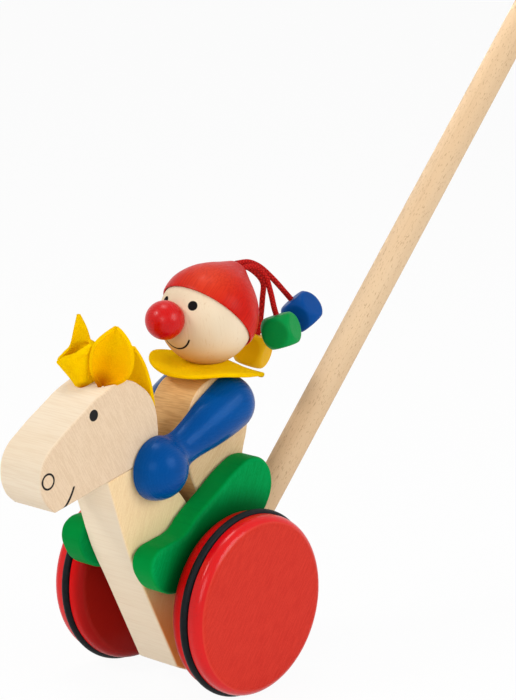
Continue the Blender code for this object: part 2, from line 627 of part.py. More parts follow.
def fill_collar(work):
    rings = []
    for ring in range(COLLAR_RINGS + 1):
        share = ring / COLLAR_RINGS
        radius = collar_hole + (COLLAR_RADIUS - collar_hole) * share
        spread = max(0.0, (radius - COLLAR_FLAT_RADIUS) / (COLLAR_RADIUS - COLLAR_FLAT_RADIUS))
        loop = []
        for spoke in range(COLLAR_SPOKES):
            angle = 2 * math.pi * spoke / COLLAR_SPOKES
            lift = COLLAR_TILT * math.cos(angle - math.radians(COLLAR_TILT_DEGREES))
            lift += COLLAR_WAVE * math.cos(2 * (angle - math.radians(COLLAR_WAVE_DEGREES)))
            lift *= spread ** 1.5
            loop.append(work.verts.new((radius * math.cos(angle), radius * math.sin(angle), lift)))
        rings.append(loop)
    for inner, outer in zip(rings, rings[1:]):
        for spoke in range(COLLAR_SPOKES):
            after = (spoke + 1) % COLLAR_SPOKES
            work.faces.new((inner[spoke], outer[spoke], outer[after], inner[after]))


collar = add_object("collar", mesh_from(fill_collar), YELLOW_FELT, rider,
                    Vector((0, RIDER_HEAD_Y, collar_rise)) - HIP)
felt = collar.modifiers.new("felt", "SOLIDIFY")
felt.thickness = FELT_THICKNESS
felt.offset = 0
smooth_round(collar)

# Arms: turned clubs split lengthwise, flat inside, glued to the torso on a dowel through the shoulders
hand_offset = HEAD_THICKNESS / 2 + HAND_CLEARANCE - ARM_INNER_X
arm_splay = math.asin(hand_offset / ARM_LENGTH)
shoulder_place = SHOULDER - HIP
shoulder_dowel_length = 2 * (ARM_INNER_X + SHOULDER_DOWEL_DEPTH)
shoulder_bore = add_cutter("shoulder_bore",
                           rod_mesh(SHOULDER_DOWEL_RADIUS + GLUE_GAP, shoulder_dowel_length + 2 * GLUE_GAP),
                           rider, shoulder_place, ALONG_X)
cut_with(torso, shoulder_bore)
hand_start = math.degrees(math.asin(ARM_WRIST_RADIUS / HAND_RADIUS))
arm_profile = arc((0, 0), ARM_SHOULDER_RADIUS, 90, 0, 5)
arm_profile.append((ARM_ELBOW_RADIUS, -ARM_ELBOW_SHARE * ARM_LENGTH))
arm_profile.append((ARM_WRIST_RADIUS, -ARM_WRIST_SHARE * ARM_LENGTH))
arm_profile += arc((0, -ARM_LENGTH), HAND_RADIUS, 90 - hand_start, -90, 9)
for label, side in (("left", 1), ("right", -1)):
    # Local -Z runs from the shoulder down to the hand
    drop = Matrix.Rotation(-math.radians(90 - ARM_DROP_DEGREES), 4, "X")
    splay = Matrix.Rotation(-side * arm_splay, 4, "Y")
    arm_turn = (drop @ splay).to_euler()
    arm_place = shoulder_place + Vector((side * ARM_INNER_X, 0, 0))
    arm = turned(label + "_arm", arm_profile, BLUE_STAIN, rider, arm_place, arm_turn, ARM_STEPS)
    saw_size = 4 * ARM_LENGTH
    saw = add_cutter(label + "_arm_saw", box_mesh((saw_size, saw_size, saw_size)), arm,
                     Vector((-side * saw_size / 2, 0, 0)))
    cut_with(arm, saw)
    cut_with(arm, shoulder_bore)
shoulder_dowel = add_object("shoulder_dowel", rod_mesh(SHOULDER_DOWEL_RADIUS, shoulder_dowel_length), BEECH,
                            rider, shoulder_place, ALONG_X)
smooth_round(shoulder_dowel)


# Mane: a felt strip glued to the back of the horse's head, standing up behind the ears
def ribbon_mesh(line, half_widths):
    # An open strip across the head: line points are (y, z), one half width for each
    def fill(work):
        rows = []
        for (y, z), half in zip(line, half_widths):
            rows.append([work.verts.new((across * half, y, z)) for across in (-1, -0.5, 0, 0.5, 1)])
        for front, back in zip(rows, rows[1:]):
            for index in range(4):
                work.faces.new((front[index], front[index + 1], back[index + 1], back[index]))
    return mesh_from(fill)


mane_line = [(-0.0310, 0.0880), (-0.0314, 0.0923), (-0.0321, 0.0960), (-0.0333, 0.1005), (-0.0344, 0.1055),
             (-0.0356, 0.1110), (-0.0367, 0.1165), (-0.0376, 0.1210), (-0.0383, 0.1250)]
mane_half_widths = [0.0088, 0.0098, 0.0105, 0.0110, 0.0112, 0.0107, 0.0094, 0.0072, 0.0040]
mane = add_object("mane", ribbon_mesh(mane_line, mane_half_widths), YELLOW_FELT, horse, CENTRE)
mane_felt = mane.modifiers.new("felt", "SOLIDIFY")
mane_felt.thickness = FELT_THICKNESS
mane_felt.offset = 0
smooth_round(mane)


# Ears: felt rolled to a pointed cup, its foot pinched and glued into a hole in the top of the head
def ear_rim(shape, angle):
    # The rim is low in front and rises to the tip on the outer side
    turn = math.degrees(angle) - shape["tip_degrees"]
    if turn > 180:
        turn -= 360
    width = shape["front_spread"] if turn < 0 else shape["back_spread"]
    level = EAR_RIM_HEIGHT - EAR_RIM_SLOPE * math.cos(angle)
    peak_level = EAR_RIM_HEIGHT - EAR_RIM_SLOPE * math.cos(math.radians(shape["tip_degrees"]))
    from_front = min(math.degrees(angle), 360 - math.degrees(angle))
    front = shape["front_rise"] * math.exp(-(from_front / EAR_FRONT_RISE_DEGREES) ** 2)
    return level + front + (shape["tip_height"] - peak_level) * math.exp(-(turn / width) ** 2)


def ear_point(shape, angle, height, foot_radius, wall):
    # From a round foot the wall opens to a long loop, and above it leans to the tip
    back_share = (1 - math.cos(angle)) / 2
    belly_height = EAR_BELLY_HEIGHT + (shape["back_belly"] - EAR_BELLY_HEIGHT) * back_share
    opening = (height - EAR_NECK_HEIGHT) / (belly_height - EAR_NECK_HEIGHT)
    rise = math.sin(min(1.0, max(0.0, opening)) * math.pi / 2)
    lean = max(0.0, (height - belly_height) / (shape["tip_height"] - belly_height)) ** shape["lean_power"]
    along = Vector((math.sin(math.radians(EAR_TURN_DEGREES)), math.cos(math.radians(EAR_TURN_DEGREES)), 0))
    outward = Vector((along.y, -along.x, 0))
    foot = foot_radius * (math.sin(angle) * outward - math.cos(angle) * along)
    loop = (shape["half_width"] + wall) * math.sin(angle) * outward
    loop -= (shape["half_length"] + wall) * math.cos(angle) * along
    place = foot.lerp(Vector((*shape["loop"], 0)) + loop, rise)
    place = place.lerp(Vector((*shape["tip"], 0)) + shape["tip_share"] * loop, lean)
    place.z = height
    return place


def fill_ear(work, shape, side):
    half_wall = FELT_THICKNESS / 2
    angles = [2 * math.pi * spoke / EAR_SPOKES for spoke in range(EAR_SPOKES)]

    def wall_ring(ring, foot_radius, wall):
        ring_points = []
        for angle in angles:
            height = EAR_NECK_HEIGHT + ring / EAR_RINGS * (ear_rim(shape, angle) - EAR_NECK_HEIGHT)
            ring_points.append(ear_point(shape, angle, height, foot_radius, wall))
        return ring_points

    rings = [[Vector((0, 0, -EAR_FOOT_DEPTH))]]
    rings.append([ear_point(shape, angle, -EAR_FOOT_DEPTH, EAR_FOOT_RADIUS, half_wall) for angle in angles])
    rings += [wall_ring(ring, EAR_FOOT_RADIUS, half_wall) for ring in range(EAR_RINGS + 1)]
    rings += [wall_ring(ring, half_wall / 2, -half_wall) for ring in range(EAR_RINGS, 0, -1)]
    bottom = sum(rings[-1], Vector()) / EAR_SPOKES
    rings.append([bottom])
    loops = [[work.verts.new((side * spot.x, spot.y, spot.z)) for spot in ring] for ring in rings]
    for low, high in zip(loops, loops[1:]):
        for spoke in range(EAR_SPOKES):
            after = (spoke + 1) % EAR_SPOKES
            if len(low) == 1:
                work.faces.new((low[0], high[spoke], high[after]))
            elif len(high) == 1:
                work.faces.new((low[spoke], low[after], high[0]))
            else:
                work.faces.new((low[spoke], low[after], high[after], high[spoke]))
    bmesh.ops.recalc_face_normals(work, faces=work.faces)


ear_hole_depth = EAR_FOOT_DEPTH + GLUE_GAP
for label, side in (("left", 1), ("right", -1)):
    foot_x, foot_y, foot_z = EAR_SHAPES[label]["foot"]
    ear_place = Vector((side * foot_x, foot_y, foot_z))
    ear_hole = add_cutter(label + "_ear_hole", rod_mesh(EAR_FOOT_RADIUS + GLUE_GAP, 2 * ear_hole_depth), horse,
                          ear_place)
    cut_with(horse_head, ear_hole)
    ear_mesh = mesh_from(lambda work: fill_ear(work, EAR_SHAPES[label], side))
    ear = add_object(label + "_ear", ear_mesh, YELLOW_FELT, horse, ear_place)
    smooth_round(ear)

# Cords: three stiff cords out of the cap's tip, each holding a painted cube.
# Each has its place in the hole, the way its cube faces and its route from the tip of the cap to the cube.
pendants = [
    ("blue", BLUE_STAIN, (0.0000, -0.0020), (0.38, -0.85, -0.34),
     [(-0.0002, 0.0080, 0.0010), (-0.0007, 0.0170, -0.0028), (-0.0012, 0.0270, -0.0102),
      (-0.0012, 0.0362, -0.0185), (0.0005, 0.0385, -0.0219)]),
    ("green", GREEN_STAIN, (0.0018, 0.0010), (0.30, -0.95, 0.12),
     [(0.0034, 0.0085, -0.0009), (0.0049, 0.0146, -0.0065), (0.0067, 0.0164, -0.0143),
      (0.0084, 0.0168, -0.0210), (0.0096, 0.0172, -0.0250)]),
    ("yellow", YELLOW_STAIN, (-0.0018, 0.0010), (0.30, -0.95, 0.00),
     [(-0.0032, 0.0120, -0.0030), (-0.0055, 0.0240, -0.0116), (-0.0080, 0.0268, -0.0210),
      (-0.0108, 0.0280, -0.0350), (-0.0116, 0.0273, -0.0395)]),
]


def smooth_route(points, steps):
    # Catmull-Rom curve through the route's own points
    padded = [2 * points[0] - points[1], *points, 2 * points[-1] - points[-2]]
    route = []
    for before, start, end, after in zip(padded, padded[1:], padded[2:], padded[3:]):
        for step in range(steps):
            t = step / steps
            bend = (2 * before - 5 * start + 4 * end - after) * t * t
            twist = (3 * start - before - 3 * end + after) * t * t * t
            route.append((2 * start + (end - before) * t + bend + twist) / 2)
    route.append(points[-1])
    return route


def hung(down, front):
    # Turn of a cube whose Z runs down the cord and whose X looks to the front
    side = down.cross(Vector(front)).normalized()
    return Matrix((side.cross(down), side, down)).transposed().to_euler()


for label, material, (side, rise), front, drops in pendants:
    # The three cords leave the hole side by side
    across = Vector((0, CAP_AXIS.z, -CAP_AXIS.y))
    leave = CAP_TIP + Vector((side, 0, 0)) + rise * across + GLUE_GAP * CAP_AXIS
    pivot = frame_empty(label + "_cord_exit", rider, leave - HIP)
    stops = [Vector((0, 0, 0))] + [CAP_TIP + Vector(drop) - leave for drop in drops]
    route = smooth_route(stops, CORD_STEPS)
    curve = bpy.data.curves.new(label + "_cord", "CURVE")
    curve.dimensions = "3D"
    curve.bevel_depth = CORD_RADIUS
    curve.bevel_resolution = 2
    curve.use_fill_caps = True
    spline = curve.splines.new("POLY")
    spline.points.add(len(route) - 1)
    for point, place in zip(spline.points, route):
        point.co = (*place, 1)
    add_object(label + "_cord", curve, RED_CORD, pivot, (0, 0, 0))
    # The cube hangs square on the end of its cord
    pull = (route[-1] - route[-2]).normalized()
    cube = add_object(label + "_cube", box_mesh((CUBE_SIZE, CUBE_SIZE, CUBE_SIZE)), material, pivot,
                      route[-1] + (CUBE_SIZE / 2 + GLUE_GAP) * pull, hung(pull, front))
    cube_edges = cube.modifiers.new("rounded_edges", "BEVEL")
    cube_edges.width = CUBE_EDGE_RADIUS
    cube_edges.segments = 3
    smooth_round(cube, 60)

# The toy stands on the floor with the origin below the middle of its length
bpy.context.view_layer.update()
depsgraph = bpy.context.evaluated_depsgraph_get()
reach = []
for piece in toy.objects:
    if piece.type == "EMPTY":
        continue
    solid = piece.evaluated_get(depsgraph)
    shape = solid.to_mesh()
    reach += [(solid.matrix_world @ spot.co).y for spot in shape.vertices]
    solid.to_mesh_clear()
ground.location.y = -(min(reach) + max(reach)) / 2
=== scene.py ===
import math

import bmesh
import bpy
from mathutils import Matrix, Vector


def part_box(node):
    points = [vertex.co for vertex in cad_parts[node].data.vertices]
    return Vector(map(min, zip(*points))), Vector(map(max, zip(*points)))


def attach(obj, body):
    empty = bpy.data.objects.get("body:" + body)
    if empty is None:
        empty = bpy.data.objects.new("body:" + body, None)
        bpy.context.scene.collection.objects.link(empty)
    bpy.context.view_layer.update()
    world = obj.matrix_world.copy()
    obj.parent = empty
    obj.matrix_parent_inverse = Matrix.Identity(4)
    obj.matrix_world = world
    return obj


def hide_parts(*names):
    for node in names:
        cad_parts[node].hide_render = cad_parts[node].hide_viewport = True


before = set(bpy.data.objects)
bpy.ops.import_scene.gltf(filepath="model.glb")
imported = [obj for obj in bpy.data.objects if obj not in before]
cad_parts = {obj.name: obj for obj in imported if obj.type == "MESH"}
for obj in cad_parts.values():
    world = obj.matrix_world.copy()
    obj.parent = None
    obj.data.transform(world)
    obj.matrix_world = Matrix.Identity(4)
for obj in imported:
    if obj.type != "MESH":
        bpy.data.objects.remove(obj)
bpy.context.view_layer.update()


# Horse body
# A thick board of pale maple, sliced off a long profiled bar, so that its grain runs from side to side.
# The sawn edges are lightly sanded. It is bored for the axle and slotted for the rider's rocker.
axle_low, axle_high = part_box("axle")
axle_middle = (axle_low + axle_high) / 2
body_thickness = 0.0258
body_side = body_thickness / 2
body_edge = 0.0011
heel_radius = 0.0388
saddle_height = 0.0325
seat_y = -0.0330
seat_z = 0.0749
seat_slope = math.tan(math.radians(12.3))
glue_line = 0.0003
stick_angle = math.radians(47.1)
stick_way = Vector((0, math.cos(stick_angle), math.sin(stick_angle)))
stick_foot = Vector((0, 0.0313, 0.0058))
socket_depth = 0.0225
socket_half = 0.0115
bore_radius = 0.0043
bore_length = 0.060
slot_middle = Vector((0, 0.0054, 0.0168))
slot_size = (0.0086, 0.0320, 0.0560)


def tint(red, green, blue):
    # A colour as it is seen, written from 0 to 255
    seen = [value / 255 for value in (red, green, blue)]
    return (*[value / 12.92 if value < 0.04 else ((value + 0.055) / 1.055) ** 2.4 for value in seen], 1)


def corner(y, z):
    return (y, z, "VECTOR")


def smooth(y, z):
    return (y, z, "AUTO")


def arc(centre_y, centre_z, radius, start, end, steps):
    angles = [math.radians(start + (end - start) * step / steps) for step in range(steps + 1)]
    return [(centre_y + radius * math.cos(angle), centre_z + radius * math.sin(angle)) for angle in angles]


def seat_height(y):
    # The straight saw cut under the head slopes down towards the chin
    return seat_z + seat_slope * (y - seat_y)


def add_object(name, data):
    made = bpy.data.objects.new(name, data)
    bpy.context.scene.collection.objects.link(made)
    return made


def round_edges(work, edges, offset, segments):
    bmesh.ops.bevel(work, geom=edges, offset=offset, offset_type="OFFSET", affect="EDGES", segments=segments,
                    profile=0.5, material=-1, clamp_overlap=True)


def sawn_board(outline, thickness, edge, middle_x):
    # The outline, drawn as (y, z) from the axle, is filled, given its thickness and sanded along its edges
    drawing = bpy.data.curves.new("outline", "CURVE")
    drawing.dimensions = "2D"
    drawing.fill_mode = "BOTH"
    drawing.extrude = thickness / 2
    drawing.resolution_u = 10
    line = drawing.splines.new("BEZIER")
    line.use_cyclic_u = True
    line.bezier_points.add(len(outline) - 1)
    for point, (y, z, handle) in zip(line.bezier_points, outline):
        point.co = (y, z, 0)
        point.handle_left_type = handle
        point.handle_right_type = handle
    drawn = add_object("outline", drawing)
    filled = bpy.data.meshes.new_from_object(drawn.evaluated_get(bpy.context.evaluated_depsgraph_get()))
    bpy.data.objects.remove(drawn)
    work = bmesh.new()
    work.from_mesh(filled)
    bmesh.ops.remove_doubles(work, verts=work.verts, dist=0.00001)
    bmesh.ops.dissolve_limit(work, angle_limit=math.radians(0.3), verts=work.verts, edges=work.edges)
    bmesh.ops.recalc_face_normals(work, faces=work.faces)
    rims = [rim for rim in work.edges if rim.is_manifold and rim.calc_face_angle() > math.radians(50)]
    round_edges(work, rims, edge, segments=4)
    upright = Matrix(((0, 0, 1), (1, 0, 0), (0, 1, 0))).to_4x4()
    place = Matrix.Translation(axle_middle + Vector((middle_x, 0, 0)))
    bmesh.ops.transform(work, matrix=place @ upright, verts=work.verts)
    return work


def bore_along_x(y, z):
    # A drill of the axle's size, laid across the board
    drill = bmesh.new()
    place = Matrix.Translation(axle_middle + Vector((0, y, z))) @ Matrix.Rotation(math.pi / 2, 4, "Y")
    bmesh.ops.create_cone(drill, cap_ends=True, segments=48, radius1=bore_radius, radius2=bore_radius,
                          depth=bore_length, matrix=place)
    return drill


def cut_away(work, tools):
    # Bores and slots: each tool is taken out of the work, and only the result is kept
    blanks = []
    for shape in (work, *tools):
        mesh = bpy.data.meshes.new("blank")
        shape.to_mesh(mesh)
        shape.free()
        blanks.append(add_object("blank", mesh))
    for tool in blanks[1:]:
        cut = blanks[0].modifiers.new("cut", "BOOLEAN")
        cut.operation = "DIFFERENCE"
        cut.solver = "EXACT"
        cut.object = tool
    result = bpy.data.meshes.new_from_object(blanks[0].evaluated_get(bpy.context.evaluated_depsgraph_get()))
    for blank in blanks:
        bpy.data.objects.remove(blank)
    kept = bmesh.new()
    kept.from_mesh(result)
    return kept


def set_piece(name, work, finish, body, slot, *nodes):
    # A finished piece stands at the origin with its place in its mesh, and rides on its body
    mesh = bpy.data.meshes.new(name)
    work.to_mesh(mesh)
    work.free()
    mesh.shade_smooth()
    mesh.set_sharp_from_angle(angle=math.radians(42))
    mesh.materials.append(finish)
    piece = add_object(name, mesh)
    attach(piece, body)
    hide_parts(*nodes)
    return piece


def even_shading(piece):
    # Flat faces stay flat beside the small round edges
    even = piece.modifiers.new("even_shading", "WEIGHTED_NORMAL")
    even.keep_sharp = True


def add_node(tree, kind, sockets, **settings):
    made = tree.nodes.new(kind)
    for name, value in settings.items():
        setattr(made, name, value)
    for key, value in sockets.items():
        if isinstance(value, bpy.types.NodeSocket):
            tree.links.new(value, made.inputs[key])
        else:
            made.inputs[key].default_value = value
    return made


def math_node(tree, operation, first, second=0.0):
    return add_node(tree, "ShaderNodeMath", {0: first, 1: second}, operation=operation).outputs[0]


def ramp(tree, value, low, high, start=0.0, end=1.0):
    # As the value goes from low to high, the result goes smoothly from start to end
    sockets = {0: value, 1: low, 2: high, 3: start, 4: end}
    return add_node(tree, "ShaderNodeMapRange", sockets, interpolation_type="SMOOTHSTEP").outputs[0]


def mix_colour(tree, share, first, second):
    return add_node(tree, "ShaderNodeMix", {0: share, 6: first, 7: second}, data_type="RGBA").outputs[2]


def stretched_noise(tree, place, stretch, detail):
    spread = add_node(tree, "ShaderNodeVectorMath", {0: place, 1: stretch}, operation="MULTIPLY").outputs[0]
    sockets = {"Vector": spread, "Scale": 1.0, "Detail": detail, "Roughness": 0.55}
    return add_node(tree, "ShaderNodeTexNoise", sockets).outputs[0]


def patches(tree, place, stretch, detail, low, high, share=1.0):
    # Soft patches of a noise, drawn out along the grain
    return ramp(tree, stretched_noise(tree, place, stretch, detail), low, high, 0.0, share)


def overlap(tree, *masks):
    # What is left is where all the masks lie over one another
    left = masks[0]
    for mask in masks[1:]:
        left = math_node(tree, "MULTIPLY", left, mask)
    return left


def pattern_group(name, outputs):
    # A pattern for more than one finish: it reads a place and puts out masks
    group = bpy.data.node_groups.new(name, "ShaderNodeTree")
    group.interface.new_socket("Vector", in_out="INPUT", socket_type="NodeSocketVector")
    for output in outputs:
        group.interface.new_socket(output, in_out="OUTPUT", socket_type="NodeSocketFloat")
    return group, group.nodes.new("NodeGroupInput").outputs["Vector"], group.nodes.new("NodeGroupOutput")


# The grain of a bar along X: thin broken growth lines, a fine hatch on its cut ends, a slow drift of colour
bar_grain, bar_place, grain_out = pattern_group("bar_grain", ("Lines", "Hatch", "Drift"))
streaks = patches(bar_grain, bar_place, (16, 1150, 1150), detail=2.0, low=0.54, high=0.74)
bundles = patches(bar_grain, bar_place, (12, 160, 160), detail=1.0, low=0.38, high=0.62)
bar_grain.links.new(overlap(bar_grain, streaks, bundles), grain_out.inputs["Lines"])
steep_rays = stretched_noise(bar_grain, bar_place, (60, 1700, 120), detail=2.0)
flat_rays = stretched_noise(bar_grain, bar_place, (60, 1300, 1000), detail=1.0)
both_rays = math_node(bar_grain, "MULTIPLY_ADD", steep_rays, 2.0)
bar_grain.links.new(flat_rays, both_rays.node.inputs[2])
bar_grain.links.new(ramp(bar_grain, both_rays, 1.15, 1.85), grain_out.inputs["Hatch"])
drift = patches(bar_grain, bar_place, (5, 38, 38), detail=2.0, low=0.30, high=0.70)
bar_grain.links.new(drift, grain_out.inputs["Drift"])


def new_finish(name, shine):
    finish = bpy.data.materials.new(name)
    finish.use_nodes = True
    tree = finish.node_tree
    tree.nodes["Principled BSDF"].inputs["Specular IOR Level"].default_value = shine
    place = add_node(tree, "ShaderNodeTexCoord", {}, name="place").outputs["Object"]
    return finish, tree, place


def feed(tree, socket, value):
    tree.links.new(value, tree.nodes["Principled BSDF"].inputs[socket])


def add_relief(tree, height, strength, depth, invert=False):
    # Relief that is too fine to be modelled
    sockets = {"Height": height, "Strength": strength, "Distance": depth}
    feed(tree, "Normal", add_node(tree, "ShaderNodeBump", sockets, invert=invert).outputs[0])


def stain_over(finish, share, colour):
    # Another colour lies over the finish, by a share that changes over the surface
    tree = finish.node_tree
    under = tree.nodes["Principled BSDF"].inputs["Base Color"].links[0].from_socket
    feed(tree, "Base Color", mix_colour(tree, share, under, colour))


def place_on(finish):
    return finish.node_tree.nodes["place"].outputs["Object"]


def axes_of(finish):
    # The x, y and z of a point on the piece
    return add_node(finish.node_tree, "ShaderNodeSeparateXYZ", {0: place_on(finish)}).outputs


def wood_finish(name, pale, deep, line, turn, line_share, roughness, shine):
    # Sanded wood: its grain shows in colour, gloss and a little relief; turn lays the grain on the piece
    finish, tree, place = new_finish(name, shine)
    laid = add_node(tree, "ShaderNodeMapping", {"Vector": place, "Rotation": turn}, name="laid").outputs[0]
    grain = add_node(tree, "ShaderNodeGroup", {"Vector": laid}, node_tree=bar_grain, name="grain").outputs
    feed(tree, "Base Color", mix_colour(tree, grain["Drift"], pale, deep))
    stain_over(finish, math_node(tree, "MULTIPLY", grain["Lines"], line_share), line)
    feed(tree, "Roughness", ramp(tree, grain["Hatch"], 0.0, 1.0, roughness - 0.05, roughness + 0.08))
    relief = math_node(tree, "ADD", grain["Lines"], grain["Hatch"])
    add_relief(tree, relief, strength=0.06, depth=0.0002, invert=True)
    return finish


def close_streaks(finish, stretch, share, colour):
    # Growth rings cut lengthwise show as close, even streaks
    laid = finish.node_tree.nodes["laid"].outputs[0]
    stain_over(finish, patches(finish.node_tree, laid, stretch, 2.0, 0.40, 0.66, share), colour)


def cut_faces(finish, middle_x, start, end, pale, deep, rim, rim_share):
    # The sides across the grain take stain and light differently, and the sanded rim shows as a thin line
    tree = finish.node_tree
    depth = math_node(tree, "SUBTRACT", math_node(tree, "ABSOLUTE", axes_of(finish)[0]), middle_x)
    cut = ramp(tree, math_node(tree, "ABSOLUTE", depth), start, end)
    stain_over(finish, cut, mix_colour(tree, tree.nodes["grain"].outputs["Hatch"], pale, deep))
    stain_over(finish, overlap(tree, cut, math_node(tree, "SUBTRACT", 1.0, cut), 4 * rim_share), rim)


maple_line = tint(206, 166, 122)
end_rim = tint(246, 226, 198)
body_maple = wood_finish("body_maple", tint(250, 234, 208), tint(246, 227, 199), maple_line,
                         (math.radians(20), 0, 0), line_share=0.14, roughness=0.60, shine=0.10)
close_streaks(body_maple, (50, 1300, 1300), share=0.10, colour=tint(216, 180, 138))
cut_faces(body_maple, 0, body_side - body_edge, body_side - 0.0001, tint(252, 222, 174), tint(245, 212, 162),
          end_rim, rim_share=0.4)
body_tree = body_maple.node_tree
body_axes = axes_of(body_maple)
on_side = ramp(body_tree, math_node(body_tree, "ABSOLUTE", body_axes[0]), body_side - 0.0004, body_side)
# Painted shade with warm bounce light: low down, below the legs and beside the wheels, the flat sides are
# darkened to orange-brown.
painted_low_shade = ramp(body_tree, body_axes[2], axle_middle.z - 0.020, axle_middle.z + 0.034, 0.85, 0.0)
stain_over(body_maple, overlap(body_tree, on_side, painted_low_shade), tint(246, 140, 46))


def socket_corner(side):
    mouth = stick_foot + socket_depth * stick_way
    place = mouth + side * socket_half * Vector((0, stick_way.z, -stick_way.y))
    return corner(place.y, place.z)


body_outline = [
    corner(-0.0650, seat_height(-0.0650) - glue_line),
    smooth(-0.0585, 0.0484),
    smooth(-0.0548, 0.0374),
    smooth(-0.0511, 0.0278),
    smooth(-0.0439, 0.0137),
    *[corner(y, z) for y, z in arc(0, 0, heel_radius, 237.5, 325, 48)],
    socket_corner(1),
    socket_corner(-1),
    corner(0.0300, saddle_height),
    corner(0.0030, saddle_height),
    smooth(-0.0020, 0.0352),
    corner(-0.0349, seat_height(-0.0349) - glue_line),
]
body_work = sawn_board(body_outline, body_thickness, body_edge, 0)
rocker_slot = bmesh.new()
slot_place = Matrix.Translation(axle_middle + slot_middle) @ Matrix.Diagonal((*slot_size, 1))
bmesh.ops.create_cube(rocker_slot, size=1.0, matrix=slot_place)
body_work = cut_away(body_work, [bore_along_x(0, 0), rocker_slot])
even_shading(set_piece("sawn_body", body_work, body_maple, "horse", "maple", "horse_body"))


# Horse head
# A slightly thicker slice of the same maple, glued to the sloping end of the neck, its edges sanded round.
# Eye, nostril and mouth are painted on both flat sides in black.
head_thickness = 0.027
head_side = head_thickness / 2
head_edge = 0.0017
head_outline = [
    corner(-0.0984, seat_height(-0.0984)),
    smooth(-0.1044, 0.0670),
    smooth(-0.1067, 0.0768),
    smooth(-0.1040, 0.0860),
    smooth(-0.0942, 0.0943),
    smooth(-0.0815, 0.1023),
    smooth(-0.0680, 0.1097),
    smooth(-0.0531, 0.1131),
    smooth(-0.0426, 0.1083),
    smooth(-0.0354, 0.1000),
    smooth(-0.0326, 0.0880),
    corner(seat_y, seat_z),
]
paint_black = tint(30, 28, 29)
paint_gloss = 0.35
paint_edge = 0.00015
head_maple = wood_finish("head_maple", tint(243, 226, 201), tint(238, 218, 190), maple_line,
                         (math.radians(-30), 0, 0), line_share=0.24, roughness=0.60, shine=0.10)
close_streaks(head_maple, (60, 1400, 1400), share=0.17, colour=tint(212, 174, 132))
cut_faces(head_maple, 0, head_side - head_edge, head_side - 0.0002, tint(236, 210, 179), tint(227, 199, 166),
          end_rim, rim_share=0.6)


def paint_marks(finish, masks, colour, roughness):
    # Painted marks lie over the wood: they take over its colour and its gloss
    tree = finish.node_tree
    covered = masks[0]
    for mask in masks[1:]:
        covered = math_node(tree, "MAXIMUM", covered, mask)
    stain_over(finish, covered, colour)
    dull = tree.nodes["Principled BSDF"].inputs["Roughness"].links[0].from_socket
    sockets = {0: covered, 2: dull, 3: roughness}
    feed(tree, "Roughness", add_node(tree, "ShaderNodeMix", sockets, data_type="FLOAT").outputs[0])


def distance_to(tree, place, centre):
    sockets = {0: place, 1: centre}
    return add_node(tree, "ShaderNodeVectorMath", sockets, operation="DISTANCE").outputs["Value"]


def dot_mask(tree, place, centre, radius):
    return ramp(tree, distance_to(tree, place, centre), radius - paint_edge, radius + paint_edge, 1.0, 0.0)


def ring_mask(tree, place, centre, radius, width):
    away = math_node(tree, "SUBTRACT", distance_to(tree, place, centre), radius)
    away = math_node(tree, "ABSOLUTE", away)
    return ramp(tree, away, width / 2 - paint_edge, width / 2 + paint_edge, 1.0, 0.0)


def from_axle(y, z):
    return (0, axle_middle.y + y, axle_middle.z + z)


def side_view(finish):
    # A point's place as it shows from the side of the toy
    sockets = {0: place_on(finish), 1: (0, 1, 1)}
    return add_node(finish.node_tree, "ShaderNodeVectorMath", sockets, operation="MULTIPLY").outputs[0]


head_tree = head_maple.node_tree
head_axes = axes_of(head_maple)
head_flat = side_view(head_maple)
horse_eye = dot_mask(head_tree, head_flat, from_axle(-0.0739, 0.1009), radius=0.0027)
nostril = ring_mask(head_tree, head_flat, from_axle(-0.1024, 0.0761), radius=0.00345, width=0.00098)
mouth_ring = ring_mask(head_tree, head_flat, from_axle(-0.1081, 0.0790), radius=0.0229, width=0.0012)
head_depth = math_node(head_tree, "ABSOLUTE", head_axes[0])
on_side = ramp(head_tree, head_depth, head_side - head_edge, head_side - 0.0011)
below_corner = ramp(head_tree, head_axes[2], axle_middle.z + 0.0703, axle_middle.z + 0.0711, 1.0, 0.0)
behind_chin = ramp(head_tree, head_axes[1], axle_middle.y - 0.1000, axle_middle.y - 0.0990)
horse_mouth = overlap(head_tree, mouth_ring, on_side, below_corner, behind_chin)
paint_marks(head_maple, [horse_eye, nostril, horse_mouth], paint_black, paint_gloss)
head_work = sawn_board(head_outline, head_thickness, head_edge, 0)
even_shading(set_piece("sawn_head", head_work, head_maple, "horse", "maple", "horse_head"))


# Push stick
# A long beech rod with a rounded end, glued into the socket behind the saddle.
# Beech shows short brown ray flecks along the rod.
stick_radius = 0.0076
stick_length = 0.560
stick_end = 0.004
stick_rows = 14


def turned_piece(profile, steps, closed=False):
    # The (radius, height) profile is spun once about Z
    work = bmesh.new()
    points = [work.verts.new((radius, 0, height)) for radius, height in profile]
    lines = [work.edges.new(pair) for pair in zip(points, points[1:])]
    if closed:
        lines.append(work.edges.new((points[-1], points[0])))
    bmesh.ops.spin(work, geom=points + lines, cent=(0, 0, 0), axis=(0, 0, 1), dvec=(0, 0, 0),
                   angle=2 * math.pi, steps=steps, use_merge=True, use_duplicate=False)
    bmesh.ops.remove_doubles(work, verts=work.verts, dist=0.000002)
    bmesh.ops.recalc_face_normals(work, faces=work.faces)
    return work


def put(work, matrix):
    bmesh.ops.transform(work, matrix=Matrix.Translation(axle_middle) @ matrix, verts=work.verts)
    return work


